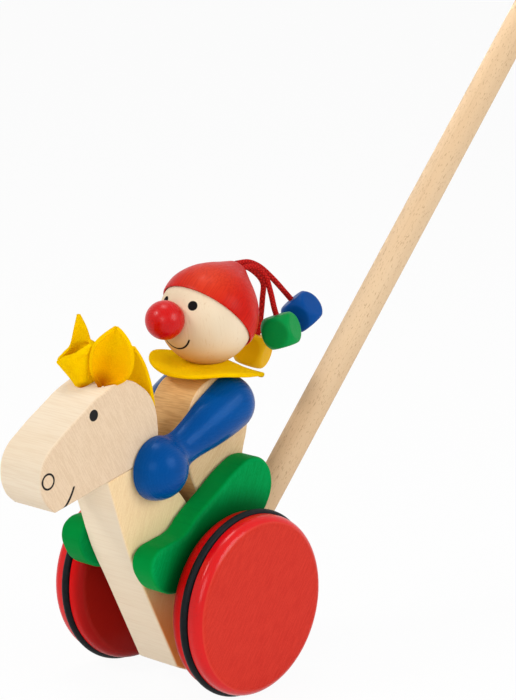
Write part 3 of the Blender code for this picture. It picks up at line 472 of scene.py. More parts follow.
beech_pale = tint(229, 200, 163)
beech_deep = tint(222, 189, 149)
beech_fleck = tint(150, 100, 62)
along_stick = (-stick_angle, 0, -math.pi / 2)
stick_beech = wood_finish("stick_beech", beech_pale, beech_deep, beech_fleck, along_stick, line_share=0.16,
                          roughness=0.55, shine=0.15)
stick_laid = stick_beech.node_tree.nodes["laid"].outputs[0]
beech_rays = patches(stick_beech.node_tree, stick_laid, (430, 2000, 2000), detail=1.0, low=0.61,
                     high=0.70, share=0.42)
paint_marks(stick_beech, [beech_rays], beech_fleck, roughness=0.55)
stick_profile = [(0, stick_length)]
stick_profile += arc(stick_radius - stick_end, stick_length - stick_end, stick_end, 90, 0, 10)
stick_profile += [(stick_radius, stick_length * row / stick_rows) for row in range(stick_rows - 1, 0, -1)]
stick_profile += [(stick_radius, 0), (0, 0)]
stick_turn = Matrix.Translation(stick_foot) @ Matrix.Rotation(stick_angle - math.pi / 2, 4, "X")
stick_work = put(turned_piece(stick_profile, steps=64), stick_turn)
set_piece("turned_stick", stick_work, stick_beech, "horse", "beech", "push_stick")


# Legs
# The rider's two legs, sawn from board, sanded round and stained green so that the grain shows through.
# They are glued and dowelled to the sides of the body, the right one a little higher and further forward.
leg_thickness = 0.0146
leg_half = leg_thickness / 2
leg_edge = 0.0026
leg_x = body_side + glue_line + leg_half
hip_y = 0.012
hip_z = 0.045
right_leg_lift = math.radians(7.0)
right_leg_forward = 0.0038
leg_outline = [
    (-0.0516, 0.0276),
    (-0.0478, 0.0331),
    (-0.0393, 0.0353),
    (-0.0291, 0.0376),
    (-0.0215, 0.0437),
    (-0.0070, 0.0531),
    (0.0088, 0.0625),
    (0.0175, 0.0651),
    (0.0262, 0.0620),
    (0.0312, 0.0520),
    (0.0285, 0.0412),
    (0.0190, 0.0320),
    (0.0000, 0.0235),
    (-0.0180, 0.0165),
    (-0.0300, 0.0110),
    (-0.0405, 0.0114),
    (-0.0489, 0.0184),
]
hip = Vector((0, hip_y, hip_z))
lift = Matrix.Rotation(-right_leg_lift, 3, "X")
lifted = [hip + lift @ (Vector((0, y, z)) - hip) for y, z in leg_outline]
right_outline = [smooth(point.y - right_leg_forward, point.z) for point in lifted]
left_outline = [smooth(y, z) for y, z in leg_outline]
green_stain = wood_finish("green_stain", tint(0, 158, 68), tint(0, 150, 62), tint(0, 112, 44),
                          (math.radians(25), 0, 0), line_share=0.30, roughness=0.45, shine=0.02)
cut_faces(green_stain, leg_x, leg_half - 0.0018, leg_half - 0.0002, tint(0, 154, 77), tint(0, 142, 67),
          tint(10, 176, 94), rim_share=0.25)
green_tree = green_stain.node_tree
green_across = axes_of(green_stain)[0]
# Painted shade: the outer side of each leg is darkened near the wheel, and the far leg is darkened all over.
outer_side = ramp(green_tree, green_across, leg_x + 0.0050, leg_x + 0.0070)
from_wheel = distance_to(green_tree, side_view(green_stain), from_axle(0, 0))
wheel_shade = ramp(green_tree, from_wheel, 0.041, 0.057, 0.95, 0.0)
far_leg_shade = ramp(green_tree, green_across, -0.0140, -0.0120, 0.32, 0.0)
painted_leg_shade = math_node(green_tree, "MAXIMUM", overlap(green_tree, outer_side, wheel_shade), far_leg_shade)
stain_over(green_stain, painted_leg_shade, tint(0, 84, 32))
for label, side, outline in (("left", 1, left_outline), ("right", -1, right_outline)):
    leg_work = sawn_board(outline, leg_thickness, leg_edge, side * leg_x)
    leg = set_piece(f"sawn_{label}_leg", leg_work, green_stain, "horse", "green_stain", f"{label}_leg")
    even_shading(leg)


# Dowels, axle, eccentric and rocker
# Plain beech pins and a flat beech rocker, all inside the toy: their CAD shapes are right and stay.
hidden_beech = wood_finish("hidden_beech", beech_pale, beech_deep, beech_fleck, (0, 0, 0), line_share=0.2,
                           roughness=0.55, shine=0.2)
for node in ("head_dowel_front", "head_dowel_rear", "leg_dowel", "hip_pin", "axle", "eccentric", "rocker",
             "neck_dowel", "shoulder_dowel", "nose_peg"):
    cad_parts[node].material_slots[0].material = hidden_beech


# Wheels
# Turned discs with round edges and a plain face, stained red and lightly lacquered; the face is end grain.
# A groove round the rim holds the rubber ring, and the axle is glued into a blind bore.
wheel_x = 0.03915
wheel_half = 0.00975
wheel_radius = 0.0434
wheel_edge = 0.005
wheel_steps = 144
ring_radius = 0.0432
groove_radius = 0.0025
bore_bottom = 0.014 - wheel_half
face_start = wheel_half - 0.0008
face_end = wheel_half - 0.0001
red_line = tint(150, 8, 14)
red_stain = wood_finish("red_stain", tint(224, 6, 8), tint(216, 4, 6), red_line, (math.radians(37), 0, 0),
                        line_share=0.20, roughness=0.34, shine=0.08)
cut_faces(red_stain, wheel_x, face_start, face_end, tint(215, 55, 40), tint(204, 45, 32), tint(232, 84, 60),
          rim_share=0.25)
red_tree = red_stain.node_tree
red_tree.nodes["Principled BSDF"].inputs["Coat Roughness"].default_value = 0.17
red_depth = math_node(red_tree, "ABSOLUTE", axes_of(red_stain)[0])
off_middle = math_node(red_tree, "SUBTRACT", red_depth, wheel_x)
behind_face = ramp(red_tree, off_middle, face_start, face_end, 0.42, 0.0)
outer_half = ramp(red_tree, off_middle, -0.0040, 0.0)
feed(red_tree, "Coat Weight", overlap(red_tree, behind_face, outer_half))
# Painted shade: the inner side of each wheel, which faces the body and legs, is darkened.
stain_over(red_stain, ramp(red_tree, off_middle, -0.0085, -0.0020, 0.85, 0.0), tint(156, 18, 14))
groove_angle = math.degrees(math.acos((wheel_radius - ring_radius) / groove_radius))
wheel_profile = [(0, wheel_half), (0.012, wheel_half), (0.026, wheel_half)]
wheel_profile += arc(wheel_radius - wheel_edge, wheel_half - wheel_edge, wheel_edge, 90, 0, 14)
wheel_profile += arc(ring_radius, 0, groove_radius, groove_angle, 360 - groove_angle, 14)
wheel_profile += arc(wheel_radius - wheel_edge, wheel_edge - wheel_half, wheel_edge, 0, -90, 14)
wheel_profile += [(bore_radius, -wheel_half), (bore_radius, bore_bottom), (0, bore_bottom)]
both_sides = (("left", 1), ("right", -1))


def on_axle(side):
    # A wheel or a ring stands on its side of the toy, its face outwards
    return Matrix.Translation((side * wheel_x, 0, 0)) @ Matrix.Rotation(side * math.pi / 2, 4, "Y")


for label, side in both_sides:
    wheel_work = put(turned_piece(wheel_profile, wheel_steps), on_axle(side))
    wheel = set_piece(f"turned_{label}_wheel", wheel_work, red_stain, "wheelset", "red_stain",
                      f"{label}_wheel")
    even_shading(wheel)


# Rubber rings
# Black rubber rings of round section, stretched into the grooves of the wheels.
ring_section = 0.0020
rubber, rubber_tree, rubber_place = new_finish("ring_rubber", shine=0.12)
rubber_dust = patches(rubber_tree, rubber_place, (420, 420, 420), detail=4.0, low=0.35, high=0.75)
feed(rubber_tree, "Base Color", mix_colour(rubber_tree, rubber_dust, tint(12, 16, 19), tint(22, 27, 31)))
feed(rubber_tree, "Roughness", ramp(rubber_tree, rubber_dust, 0.0, 1.0, 0.42, 0.60))
rubber_skin = stretched_noise(rubber_tree, rubber_place, (3000, 3000, 3000), detail=1.0)
add_relief(rubber_tree, rubber_skin, strength=0.08, depth=0.0001)
ring_profile = arc(ring_radius, 0, ring_section, 180, -165, 23)
for label, side in both_sides:
    ring_work = put(turned_piece(ring_profile, wheel_steps, closed=True), on_axle(side))
    set_piece(f"rubber_{label}_ring", ring_work, rubber, "wheelset", "rubber", f"{label}_tyre")


# Torso
# A block sliced from a maple bar, round below so that it rocks on the hip pin between the legs.
# Its growth lines run across the chest.
hip_radius = 0.0118
torso_top = 0.1043
torso_thickness = 0.0256
torso_side = torso_thickness / 2
torso_edge = 0.0012
hip_round = arc(hip_y, hip_z, hip_radius, -140, -5, 30)
torso_outline = [
    corner(0.0060, torso_top),
    smooth(-0.0050, 0.0993),
    smooth(-0.0120, 0.0887),
    smooth(-0.0149, 0.0780),
    smooth(-0.0118, 0.0640),
    smooth(-0.0076, 0.0538),
    *[corner(y, z) for y, z in hip_round],
    smooth(0.0262, 0.0635),
    smooth(0.0294, 0.0760),
    smooth(0.0285, 0.0920),
    corner(0.0215, torso_top),
]
torso_maple = wood_finish("torso_maple", tint(245, 202, 143), tint(235, 188, 125), tint(190, 132, 74),
                          (math.radians(40), 0, math.radians(4)), line_share=0.30, roughness=0.60, shine=0.10)
close_streaks(torso_maple, (9, 1400, 1400), share=0.45, colour=tint(200, 144, 86))
cut_faces(torso_maple, 0, torso_side - torso_edge, torso_side - 0.0001, tint(240, 205, 160),
          tint(230, 190, 144), end_rim, rim_share=0.4)
torso_work = sawn_board(torso_outline, torso_thickness, torso_edge, 0)
torso_work = cut_away(torso_work, [bore_along_x(hip_y, hip_z)])
even_shading(set_piece("sawn_torso", torso_work, torso_maple, "rider", "maple", "torso"))


# Arms
# Turned clubs with a ball for the hand, split lengthwise, stained blue and lacquered.
# They are glued flat to the torso on a dowel through the shoulders.
arm_length = 0.0527
shoulder_radius = 0.0141
wrist_radius = 0.0096
hand_radius = 0.0153
shoulder = Vector((0, 0.0133, 0.0900))
arm_inner_x = torso_side + glue_line
arm_drop = math.radians(24)
hand_gap = 0.0004
split_edge = 0.0006
arm_splay = math.asin((head_side + hand_gap - arm_inner_x) / arm_length)
blue_stain = wood_finish("blue_stain", tint(0, 80, 154), tint(0, 72, 144), tint(0, 42, 98),
                         (0, 0, math.pi / 2), line_share=0.22, roughness=0.24, shine=0.18)
blue_stain.node_tree.nodes["Principled BSDF"].inputs["Specular Tint"].default_value = tint(140, 190, 255)


def curve_point(before, start, end, after, share):
    # Catmull-Rom: the curve goes from start to end, led in from before and out to after
    bend = (2 * before - 5 * start + 4 * end - after) * share ** 2
    twist = (3 * start - before - 3 * end + after) * share ** 3
    return (2 * start + (end - before) * share + bend + twist) / 2


def smooth_line(points, steps):
    points = [Vector(point) for point in points]
    padded = [2 * points[0] - points[1], *points, 2 * points[-1] - points[-2]]
    line = []
    for stretch in zip(padded, padded[1:], padded[2:], padded[3:]):
        line += [curve_point(*stretch, step / steps) for step in range(steps)]
    line.append(points[-1])
    return line


hand_start = 90 - math.degrees(math.asin(wrist_radius / hand_radius))
shoulder_arc = arc(0, 0, shoulder_radius, 90, 0, 12)
hand_arc = arc(0, -arm_length, hand_radius, hand_start - 8, -90, 24)
upper_arm = [shoulder_arc[-1], (0.0136, -0.0085), (0.0122, -0.0190), (0.0103, -0.0290), (0.0096, -0.0352),
             (0.0099, -0.0390), hand_arc[0]]
arm_profile = shoulder_arc[:-1] + [tuple(point) for point in smooth_line(upper_arm, steps=5)] + hand_arc[1:]
arm_profile[0] = (0, shoulder_radius)
arm_profile[-1] = (0, -arm_length - hand_radius)
for label, side in both_sides:
    arm_work = turned_piece(arm_profile, steps=72)
    bmesh.ops.bisect_plane(arm_work, geom=arm_work.verts[:] + arm_work.edges[:] + arm_work.faces[:],
                           plane_co=(0, 0, 0), plane_no=(-side, 0, 0), clear_outer=True, dist=0.000001)
    open_edges = [edge for edge in arm_work.edges if edge.is_boundary]
    bmesh.ops.contextual_create(arm_work, geom=open_edges)
    bmesh.ops.recalc_face_normals(arm_work, faces=arm_work.faces)
    split_rim = [edge for edge in arm_work.edges if edge.calc_face_angle(0) > math.radians(60)]
    round_edges(arm_work, split_rim, split_edge, segments=3)
    hang = Matrix.Rotation(arm_drop - math.pi / 2, 4, "X") @ Matrix.Rotation(-side * arm_splay, 4, "Y")
    arm_place = Matrix.Translation(shoulder + Vector((side * arm_inner_x, 0, 0))) @ hang
    arm_work = put(arm_work, arm_place)
    set_piece(f"turned_{label}_arm", arm_work, blue_stain, "rider", "blue_stain", f"{label}_arm")


# Collar
# A disc of yellow felt clamped between torso and head, cupped round the ball, tilted and waved by handling.
# The felt is pressed wool, matt and a little cloudy, with a soft cut edge.
collar_radius = 0.0275
collar_hole = 0.0053
collar_flat = 0.0095
collar_rim = [-0.0001, -0.0024, -0.0066, -0.0063, -0.0042, -0.0006, 0.0036, 0.0056, 0.0036, 0.0012, 0.0010,
              0.0018]
collar_cup = 0.0020
felt_thickness = 0.0018
rider_head = Vector((0, 0.0144, 0.1300))
ball_radius = 0.0228
collar_height = 0.10575
collar_rows = 24
pressed_felt, wool_place, felt_out = pattern_group("pressed_felt", ("Fibres", "Cloud"))
for output, fineness in (("Fibres", 1500), ("Cloud", 160)):
    wool = patches(pressed_felt, wool_place, [fineness] * 3, detail=3.0, low=0.30, high=0.70)
    pressed_felt.links.new(wool, felt_out.inputs[output])


def spot_mask(finish, spot, near, far, share):
    # A soft spot round a point that is given from the axle
    away = distance_to(finish.node_tree, place_on(finish), axle_middle + spot)
    return ramp(finish.node_tree, away, near, far, share, 0.0)


near_ear = Vector((0.0080, -0.0630, 0.1118))
far_ear = Vector((-0.0012, -0.0660, 0.1100))
yellow_felt, felt_tree, felt_place = new_finish("yellow_felt", shine=0.02)
felt_shader = felt_tree.nodes["Principled BSDF"]
felt_shader.inputs["Sheen Weight"].default_value = 1.0
felt_shader.inputs["Sheen Roughness"].default_value = 0.5
felt_shader.inputs["Sheen Tint"].default_value = tint(255, 214, 20)
felt_look = add_node(felt_tree, "ShaderNodeGroup", {"Vector": felt_place}, node_tree=pressed_felt).outputs
feed(felt_tree, "Base Color", mix_colour(felt_tree, felt_look["Cloud"], tint(255, 208, 0), tint(253, 198, 0)))
stain_over(yellow_felt, math_node(felt_tree, "MULTIPLY", felt_look["Fibres"], 0.25), tint(242, 174, 0))
# Painted shade with bounce light: the hollow of the near ear is a deeper orange towards its fold.
near_side = ramp(felt_tree, axes_of(yellow_felt)[0], 0.002, 0.006)
painted_fold_shade = spot_mask(yellow_felt, near_ear, near=0.004, far=0.026, share=0.75)
stain_over(yellow_felt, overlap(felt_tree, painted_fold_shade, near_side), tint(240, 156, 0))
# Painted shade: each ear is darkened where its foot is pinched into the head.
for foot, reach in ((near_ear, 0.0090), (far_ear, 0.0045)):
    painted_foot_shade = spot_mask(yellow_felt, foot, near=0.0006, far=reach, share=0.95)
    stain_over(yellow_felt, painted_foot_shade, tint(160, 64, 0))
feed(felt_tree, "Roughness", ramp(felt_tree, felt_look["Fibres"], 0.0, 1.0, 0.90, 1.0))
add_relief(felt_tree, felt_look["Fibres"], strength=0.5, depth=0.0003, invert=True)


def felt_edges(piece):
    # The felt gets its thickness, and its cut edge is soft
    wall = piece.modifiers.new("felt", "SOLIDIFY")
    wall.thickness = felt_thickness
    wall.offset = 0
    soft = piece.modifiers.new("soft_edge", "BEVEL")
    soft.width = 0.0007
    soft.segments = 3
    soft.limit_method = "ANGLE"
    soft.angle_limit = math.radians(50)
    return piece


def rim_lift(angle):
    # The wave of the rim goes smoothly through its heights, given all round in equal steps
    step, share = divmod(angle / (2 * math.pi) * len(collar_rim), 1)
    around = [collar_rim[(int(step) + turn) % len(collar_rim)] for turn in (-1, 0, 1, 2)]
    return curve_point(*around, share)


collar_width = collar_radius - collar_hole
collar_profile = [(collar_hole + collar_width * row / collar_rows, 0) for row in range(collar_rows + 1)]
collar_work = turned_piece(collar_profile, steps=120)
for spot in collar_work.verts:
    angle = math.atan2(spot.co.y, spot.co.x) % (2 * math.pi)
    out = spot.co.xy.length
    reach = max(0.0, (out - collar_flat) / (collar_radius - collar_flat))
    under_ball = rider_head.z - math.sqrt(ball_radius ** 2 - min(out, collar_flat) ** 2) - felt_thickness / 2
    cupped = min(collar_cup, under_ball - collar_height) * (1 - reach) ** 2
    spot.co.z = cupped + rim_lift(angle) * reach ** 1.2
collar_work = put(collar_work, Matrix.Translation((0, rider_head.y, collar_height)))
collar = felt_edges(set_piece("felt_collar", collar_work, yellow_felt, "rider", "yellow_felt", "collar"))


# Rider's head and nose
# A turned maple ball on the neck dowel, with painted black eyes and a thin painted smile.
# The nose is a small lacquered red ball, pegged and glued on.
nose_radius = 0.0093
nose_rise = math.radians(6)
nose_reach = 0.0285
nose_place = rider_head + nose_reach * Vector((0, -math.cos(nose_rise), math.sin(nose_rise)))
ball_maple = wood_finish("ball_maple", tint(240, 222, 194), tint(233, 211, 180), maple_line,
                         (0, math.pi / 2, math.radians(10)), line_share=0.40, roughness=0.55, shine=0.0)
ball_tree = ball_maple.node_tree
ball_place = place_on(ball_maple)
ball_axes = axes_of(ball_maple)
ball_middle = axle_middle + rider_head
# Painted shade with warm bounce light: the ball is darker and warmer round a point low on its front, below
# and beside the nose.
ball_shade_spot = rider_head + Vector((-0.0074, -0.0132, -0.0210))
painted_ball_shade = spot_mask(ball_maple, ball_shade_spot, near=0.006, far=0.039, share=0.90)
stain_over(ball_maple, painted_ball_shade, tint(214, 164, 94))
eye_masks = []
for side in (1, -1):
    eye_spot = ball_middle + ball_radius * Vector((side * 0.385, -0.820, 0.417)).normalized()
    eye_masks.append(dot_mask(ball_tree, ball_place, eye_spot, radius=0.00235))
smile_middle = ball_middle + ball_radius * Vector((-0.035, -0.95, -0.125)).normalized()
smile_ring = ring_mask(ball_tree, ball_place, smile_middle, radius=0.0098, width=0.0009)
smile_low = ramp(ball_tree, ball_axes[2], ball_middle.z - 0.0070, ball_middle.z - 0.0062, 1.0, 0.0)
smile_front = ramp(ball_tree, ball_axes[1], ball_middle.y - 0.0105, ball_middle.y - 0.0095, 1.0, 0.0)
smile = overlap(ball_tree, smile_ring, smile_low, smile_front)
paint_marks(ball_maple, eye_masks + [smile], paint_black, paint_gloss)
ball_work = bmesh.new()
bmesh.ops.create_uvsphere(ball_work, u_segments=96, v_segments=48, radius=ball_radius)
ball_work = put(ball_work, Matrix.Translation(rider_head))
set_piece("turned_head", ball_work, ball_maple, "rider", "maple", "rider_head")
nose_lacquer = wood_finish("nose_lacquer", tint(208, 10, 8), tint(200, 6, 6), red_line, (0, 0, 0),
                           line_share=0.12, roughness=0.28, shine=0.25)
nose_work = bmesh.new()
bmesh.ops.create_uvsphere(nose_work, u_segments=64, v_segments=32, radius=nose_radius)
nose_work = put(nose_work, Matrix.Translation(nose_place))
set_piece("turned_nose", nose_work, nose_lacquer, "rider", "red_stain", "nose")


# Cap
# A pointed turned shell of red stained wood, glued over the back of the ball; its streaks run up to the tip.
# The cords come out of a hole in the tip.
cap_lean = math.radians(46)
cap_axis = Vector((0, math.sin(cap_lean), math.cos(cap_lean)))
cap_inner = ball_radius + glue_line
cord_hole = 0.0036
cap_outside = [(cord_hole + 0.0003, 0.0305), (0.0050, 0.0300), (0.0092, 0.0262), (0.0141, 0.0220),
               (0.0184, 0.0175), (0.0216, 0.0126), (0.0235, 0.0080), (0.0241, 0.0040), (0.0240, 0.0010)]
cap_profile = [(cord_hole, 0.0302)]
cap_profile += [tuple(point) for point in smooth_line(cap_outside, steps=5)]
cap_profile += [(0.0238, 0.0004), (0.0234, 0.0002), (cap_inner, 0.0006)]
inner_angle = math.degrees(math.acos(cord_hole / cap_inner))
cap_profile += arc(0, 0, cap_inner, 2.5, inner_angle, 20)
along_cap = (cap_lean - math.pi / 2, 0, -math.pi / 2)
cap_stain = wood_finish("cap_stain", tint(209, 26, 11), tint(200, 18, 8), tint(156, 10, 7), along_cap,
                        line_share=0.30, roughness=0.36, shine=0.10)
# A painted highlight: the cap is paler and more orange round a point on its upper front, where the key light
# falls.
cap_highlight_spot = rider_head + Vector((0.009, -0.008, 0.023))
painted_cap_highlight = spot_mask(cap_stain, cap_highlight_spot, near=0.002, far=0.022, share=0.65)
stain_over(cap_stain, painted_cap_highlight, tint(222, 72, 40))
close_streaks(cap_stain, (16, 1600, 1600), share=0.28, colour=tint(150, 9, 6))
cap_turn = Matrix.Translation(rider_head) @ Matrix.Rotation(-cap_lean, 4, "X")
cap_work = put(turned_piece(cap_profile, steps=128, closed=True), cap_turn)
even_shading(set_piece("turned_cap", cap_work, cap_stain, "rider", "red_stain", "cap"))


# Cords and cubes
# Three red braided cords come out of the cap's tip; each carries a painted cube, tumbled round like a die.
# The cords are stiff enough to stand out of the hole before the cubes draw them down.
cord_radius = 0.0014
cube_size = 0.0155
cube_edge = 0.0010
cube_ball = 0.01025
cube_grid = 20
braid_rows = 22
braid_strands = 4
tip_height = 0.0304
cap_tip = rider_head + tip_height * cap_axis
cord_red, cord_tree, cord_place = new_finish("cord_red", shine=0.10)
cord_skin = cord_tree.nodes["place"].outputs["UV"]
cord_round = add_node(cord_tree, "ShaderNodeSeparateXYZ", {0: cord_skin}).outputs
cord_along = math_node(cord_tree, "MULTIPLY", cord_round[0], braid_rows * math.pi)
cord_across = math_node(cord_tree, "MULTIPLY", cord_round[1], braid_strands * math.pi)
left_strand = math_node(cord_tree, "SINE", math_node(cord_tree, "ADD", cord_along, cord_across))
right_strand = math_node(cord_tree, "SINE", math_node(cord_tree, "SUBTRACT", cord_along, cord_across))
strand = math_node(cord_tree, "ABSOLUTE", overlap(cord_tree, left_strand, right_strand))
# Painted shade: the grooves between the strands are darker than the strand tops.
lit_strand_share = ramp(cord_tree, strand, 0.10, 0.75)
feed(cord_tree, "Base Color", mix_colour(cord_tree, lit_strand_share, tint(164, 12, 14), tint(214, 38, 30)))
cord_fuzz = patches(cord_tree, cord_place, (1800, 1800, 1800), detail=2.0, low=0.3, high=0.7)
stain_over(cord_red, math_node(cord_tree, "MULTIPLY", cord_fuzz, 0.4), tint(172, 16, 18))
feed(cord_tree, "Roughness", ramp(cord_tree, cord_fuzz, 0.0, 1.0, 0.60, 0.85))
add_relief(cord_tree, strand, strength=0.6, depth=0.0004)
yellow_paint = wood_finish("yellow_paint", tint(240, 184, 0), tint(232, 172, 0), tint(196, 134, 0),
                           (0, 0, 0.6), line_share=0.15, roughness=0.42, shine=0.08)
green_paint = wood_finish("green_paint", tint(0, 150, 70), tint(0, 142, 64), tint(0, 96, 42), (0, 0, 0.4),
                          line_share=0.18, roughness=0.42, shine=0.08)
blue_paint = wood_finish("blue_paint", tint(0, 74, 150), tint(0, 68, 140), tint(0, 42, 98), (0, 0.5, 0),
                         line_share=0.18, roughness=0.40, shine=0.08)
# Each one's colour, where its cord leaves the hole, where its cube faces, and the cord's course from the tip
pendants = [
    ("blue", blue_paint, (0.0000, -0.0020), (0.38, -0.85, -0.34),
     [(-0.0002, 0.0080, 0.0010), (-0.0007, 0.0170, -0.0028), (-0.0012, 0.0270, -0.0102),
      (-0.0012, 0.0362, -0.0185), (0.0005, 0.0385, -0.0219)]),
    ("green", green_paint, (0.0018, 0.0010), (0.30, -0.95, 0.12),
     [(0.0034, 0.0085, -0.0009), (0.0049, 0.0146, -0.0065), (0.0067, 0.0164, -0.0143),
      (0.0084, 0.0168, -0.0210), (0.0096, 0.0172, -0.0250)]),
    ("yellow", yellow_paint, (-0.0018, 0.0010), (0.30, -0.95, 0.00),
     [(-0.0032, 0.0120, -0.0030), (-0.0055, 0.0240, -0.0116), (-0.0080, 0.0268, -0.0210),
      (-0.0108, 0.0280, -0.0350), (-0.0116, 0.0273, -0.0395)]),
]


def tumbled_cube():
    # The edges of the cube are worn round, and its corners are worn down to a ball
    work = bmesh.new()
    bmesh.ops.create_cube(work, size=cube_size)
    bmesh.ops.subdivide_edges(work, edges=work.edges[:], cuts=cube_grid, use_grid_fill=True)
    flat = cube_size / 2 - cube_edge
    for spot in work.verts:
        core = Vector([min(flat, max(-flat, value)) for value in spot.co])
        if (spot.co - core).length > 0:
            spot.co = core + (spot.co - core).normalized() * cube_edge
        if spot.co.length > cube_ball:
            spot.co = spot.co.normalized() * cube_ball
    for step in range(2):
        bmesh.ops.smooth_vert(work, verts=work.verts, factor=0.5, use_axis_x=True, use_axis_y=True,
                              use_axis_z=True)
    return work


for label, paint, (side, rise), front, stops in pendants:
    leave = cap_tip + Vector((side, 0, 0)) + rise * Vector((0, cap_axis.z, -cap_axis.y))
    leave += glue_line * cap_axis
    stops = [cap_tip + Vector(stop) for stop in stops]
    route = smooth_line([leave, *stops], steps=8)
    cord_line = bpy.data.curves.new(f"{label}_cord_line", "CURVE")
    cord_line.dimensions = "3D"
    cord_line.bevel_depth = cord_radius
    cord_line.bevel_resolution = 6
    cord_line.use_fill_caps = True
    spline = cord_line.splines.new("POLY")
    spline.points.add(len(route) - 1)
    for point, place in zip(spline.points, route):
        point.co = (*(axle_middle + place), 1)
    spline.use_smooth = True
    cord_line.materials.append(cord_red)
    cord = add_object(f"red_{label}_cord", cord_line)
    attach(cord, f"{label}_pendant")
    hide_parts(f"{label}_cord")
    # The cube hangs in line with the end of its cord
    chords = smooth_line([leave, *stops], steps=2)
    pull = (chords[-1] - chords[-2]).normalized()
    aside = pull.cross(Vector(front)).normalized()
    hang = Matrix((aside.cross(pull), aside, pull)).transposed().to_4x4()
    cube_middle = stops[-1] + (cube_size / 2 + glue_line) * pull
    cube_work = put(tumbled_cube(), Matrix.Translation(cube_middle) @ hang)
    cube = set_piece(f"painted_{label}_cube", cube_work, paint, f"{label}_pendant", f"{label}_stain",
                     f"{label}_cube")


# Mane
# A strip of the same yellow felt, glued along the back of the horse's head and standing up behind the ears.
mane_line = [(-0.0310, 0.0880), (-0.0314, 0.0923), (-0.0321, 0.0960), (-0.0333, 0.1005), (-0.0344, 0.1055),
             (-0.0356, 0.1110), (-0.0367, 0.1165), (-0.0376, 0.1210), (-0.0383, 0.1250)]
mane_half_widths = [0.0088, 0.0098, 0.0105, 0.0110, 0.0112, 0.0107, 0.0094, 0.0072, 0.0040]
mane_steps = 8


def felt_leaf(rows):
    # The first row is drawn, and the leaf grows from it row by row
    work = bmesh.new()
    last_row = [work.verts.new(spot) for spot in rows[0]]
    edge_row = [work.edges.new(pair) for pair in zip(last_row, last_row[1:])]
    for row in rows[1:]:
        grown = bmesh.ops.extrude_edge_only(work, edges=edge_row)["geom"]
        edge_row = [part for part in grown if isinstance(part, bmesh.types.BMEdge)]
        last_row = [next(edge.other_vert(spot) for edge in spot.link_edges if edge.other_vert(spot) in grown)
                    for spot in last_row]
        for spot, place in zip(last_row, row):
            spot.co = place
    bmesh.ops.recalc_face_normals(work, faces=work.faces)
    return work


mane_run = smooth_line([(half, y, z) for half, (y, z) in zip(mane_half_widths, mane_line)], steps=5)
mane_rows = [[(step * half / mane_steps, y, z) for step in range(-mane_steps, mane_steps + 1)]
             for half, y, z in mane_run]
mane_work = put(felt_leaf(mane_rows), Matrix())
mane = felt_edges(set_piece("felt_mane", mane_work, yellow_felt, "horse", "yellow_felt", "mane"))


# Ears
# Each is a leaf of the felt, rolled by hand, with its pinched foot glued into a hole in the head.
# The near one opens like a shell with a fold at its foot, the far one is closed to a cup with a tall tip.
ear_unit = 0.00096
ear_turn = math.radians(42)
ear_axes = Matrix(((math.cos(ear_turn), math.sin(ear_turn), 0), (math.sin(ear_turn), -math.cos(ear_turn), 0),
                   (0, 0, 1))).to_4x4()
# Rows from foot to tip; a point lies right along the felt, forward to the opening, and up
left_leaf = [
    [(-1.3, 0.7, -3.5), (-0.8, -0.2, -3.5), (0.0, -0.6, -3.5), (0.8, -0.2, -3.5), (1.3, 0.7, -3.5)],
    [(-1.4, 0.8, 0.5), (-0.9, -0.3, 0.4), (0.1, -0.9, 0.4), (1.2, -0.3, 0.3), (2.0, 0.9, 0.2)],
    [(-2.8, 0.4, 3.0), (-1.9, -1.1, 2.7), (0.9, -2.7, 2.6), (4.4, -1.2, 2.1), (7.4, 1.2, 1.9)],
    [(-4.5, -0.4, 6.1), (-3.1, -2.4, 5.9), (1.8, -4.4, 5.7), (7.6, -2.4, 4.7), (11.2, 1.4, 4.2)],
    [(-5.3, -1.0, 10.5), (-3.5, -3.2, 10.7), (2.7, -5.4, 10.7), (10.1, -3.0, 9.5), (13.8, 1.8, 8.8)],
    [(-4.6, -1.6, 16.6), (-2.9, -3.6, 16.8), (3.9, -5.7, 16.8), (11.3, -3.2, 15.6), (14.6, 1.0, 14.8)],
    [(-2.6, -2.2, 20.8), (-0.9, -3.8, 21.2), (4.7, -5.4, 21.6), (10.5, -3.4, 21.0), (13.2, -0.6, 20.4)],
    [(1.5, -3.0, 24.6), (2.9, -3.8, 25.0), (5.9, -4.6, 25.5), (8.6, -3.8, 25.3), (10.2, -2.4, 24.8)],
    [(6.3, -3.8, 27.6), (6.6, -3.9, 27.8), (6.8, -4.0, 27.9), (7.0, -3.9, 27.8), (7.3, -3.8, 27.6)],
]
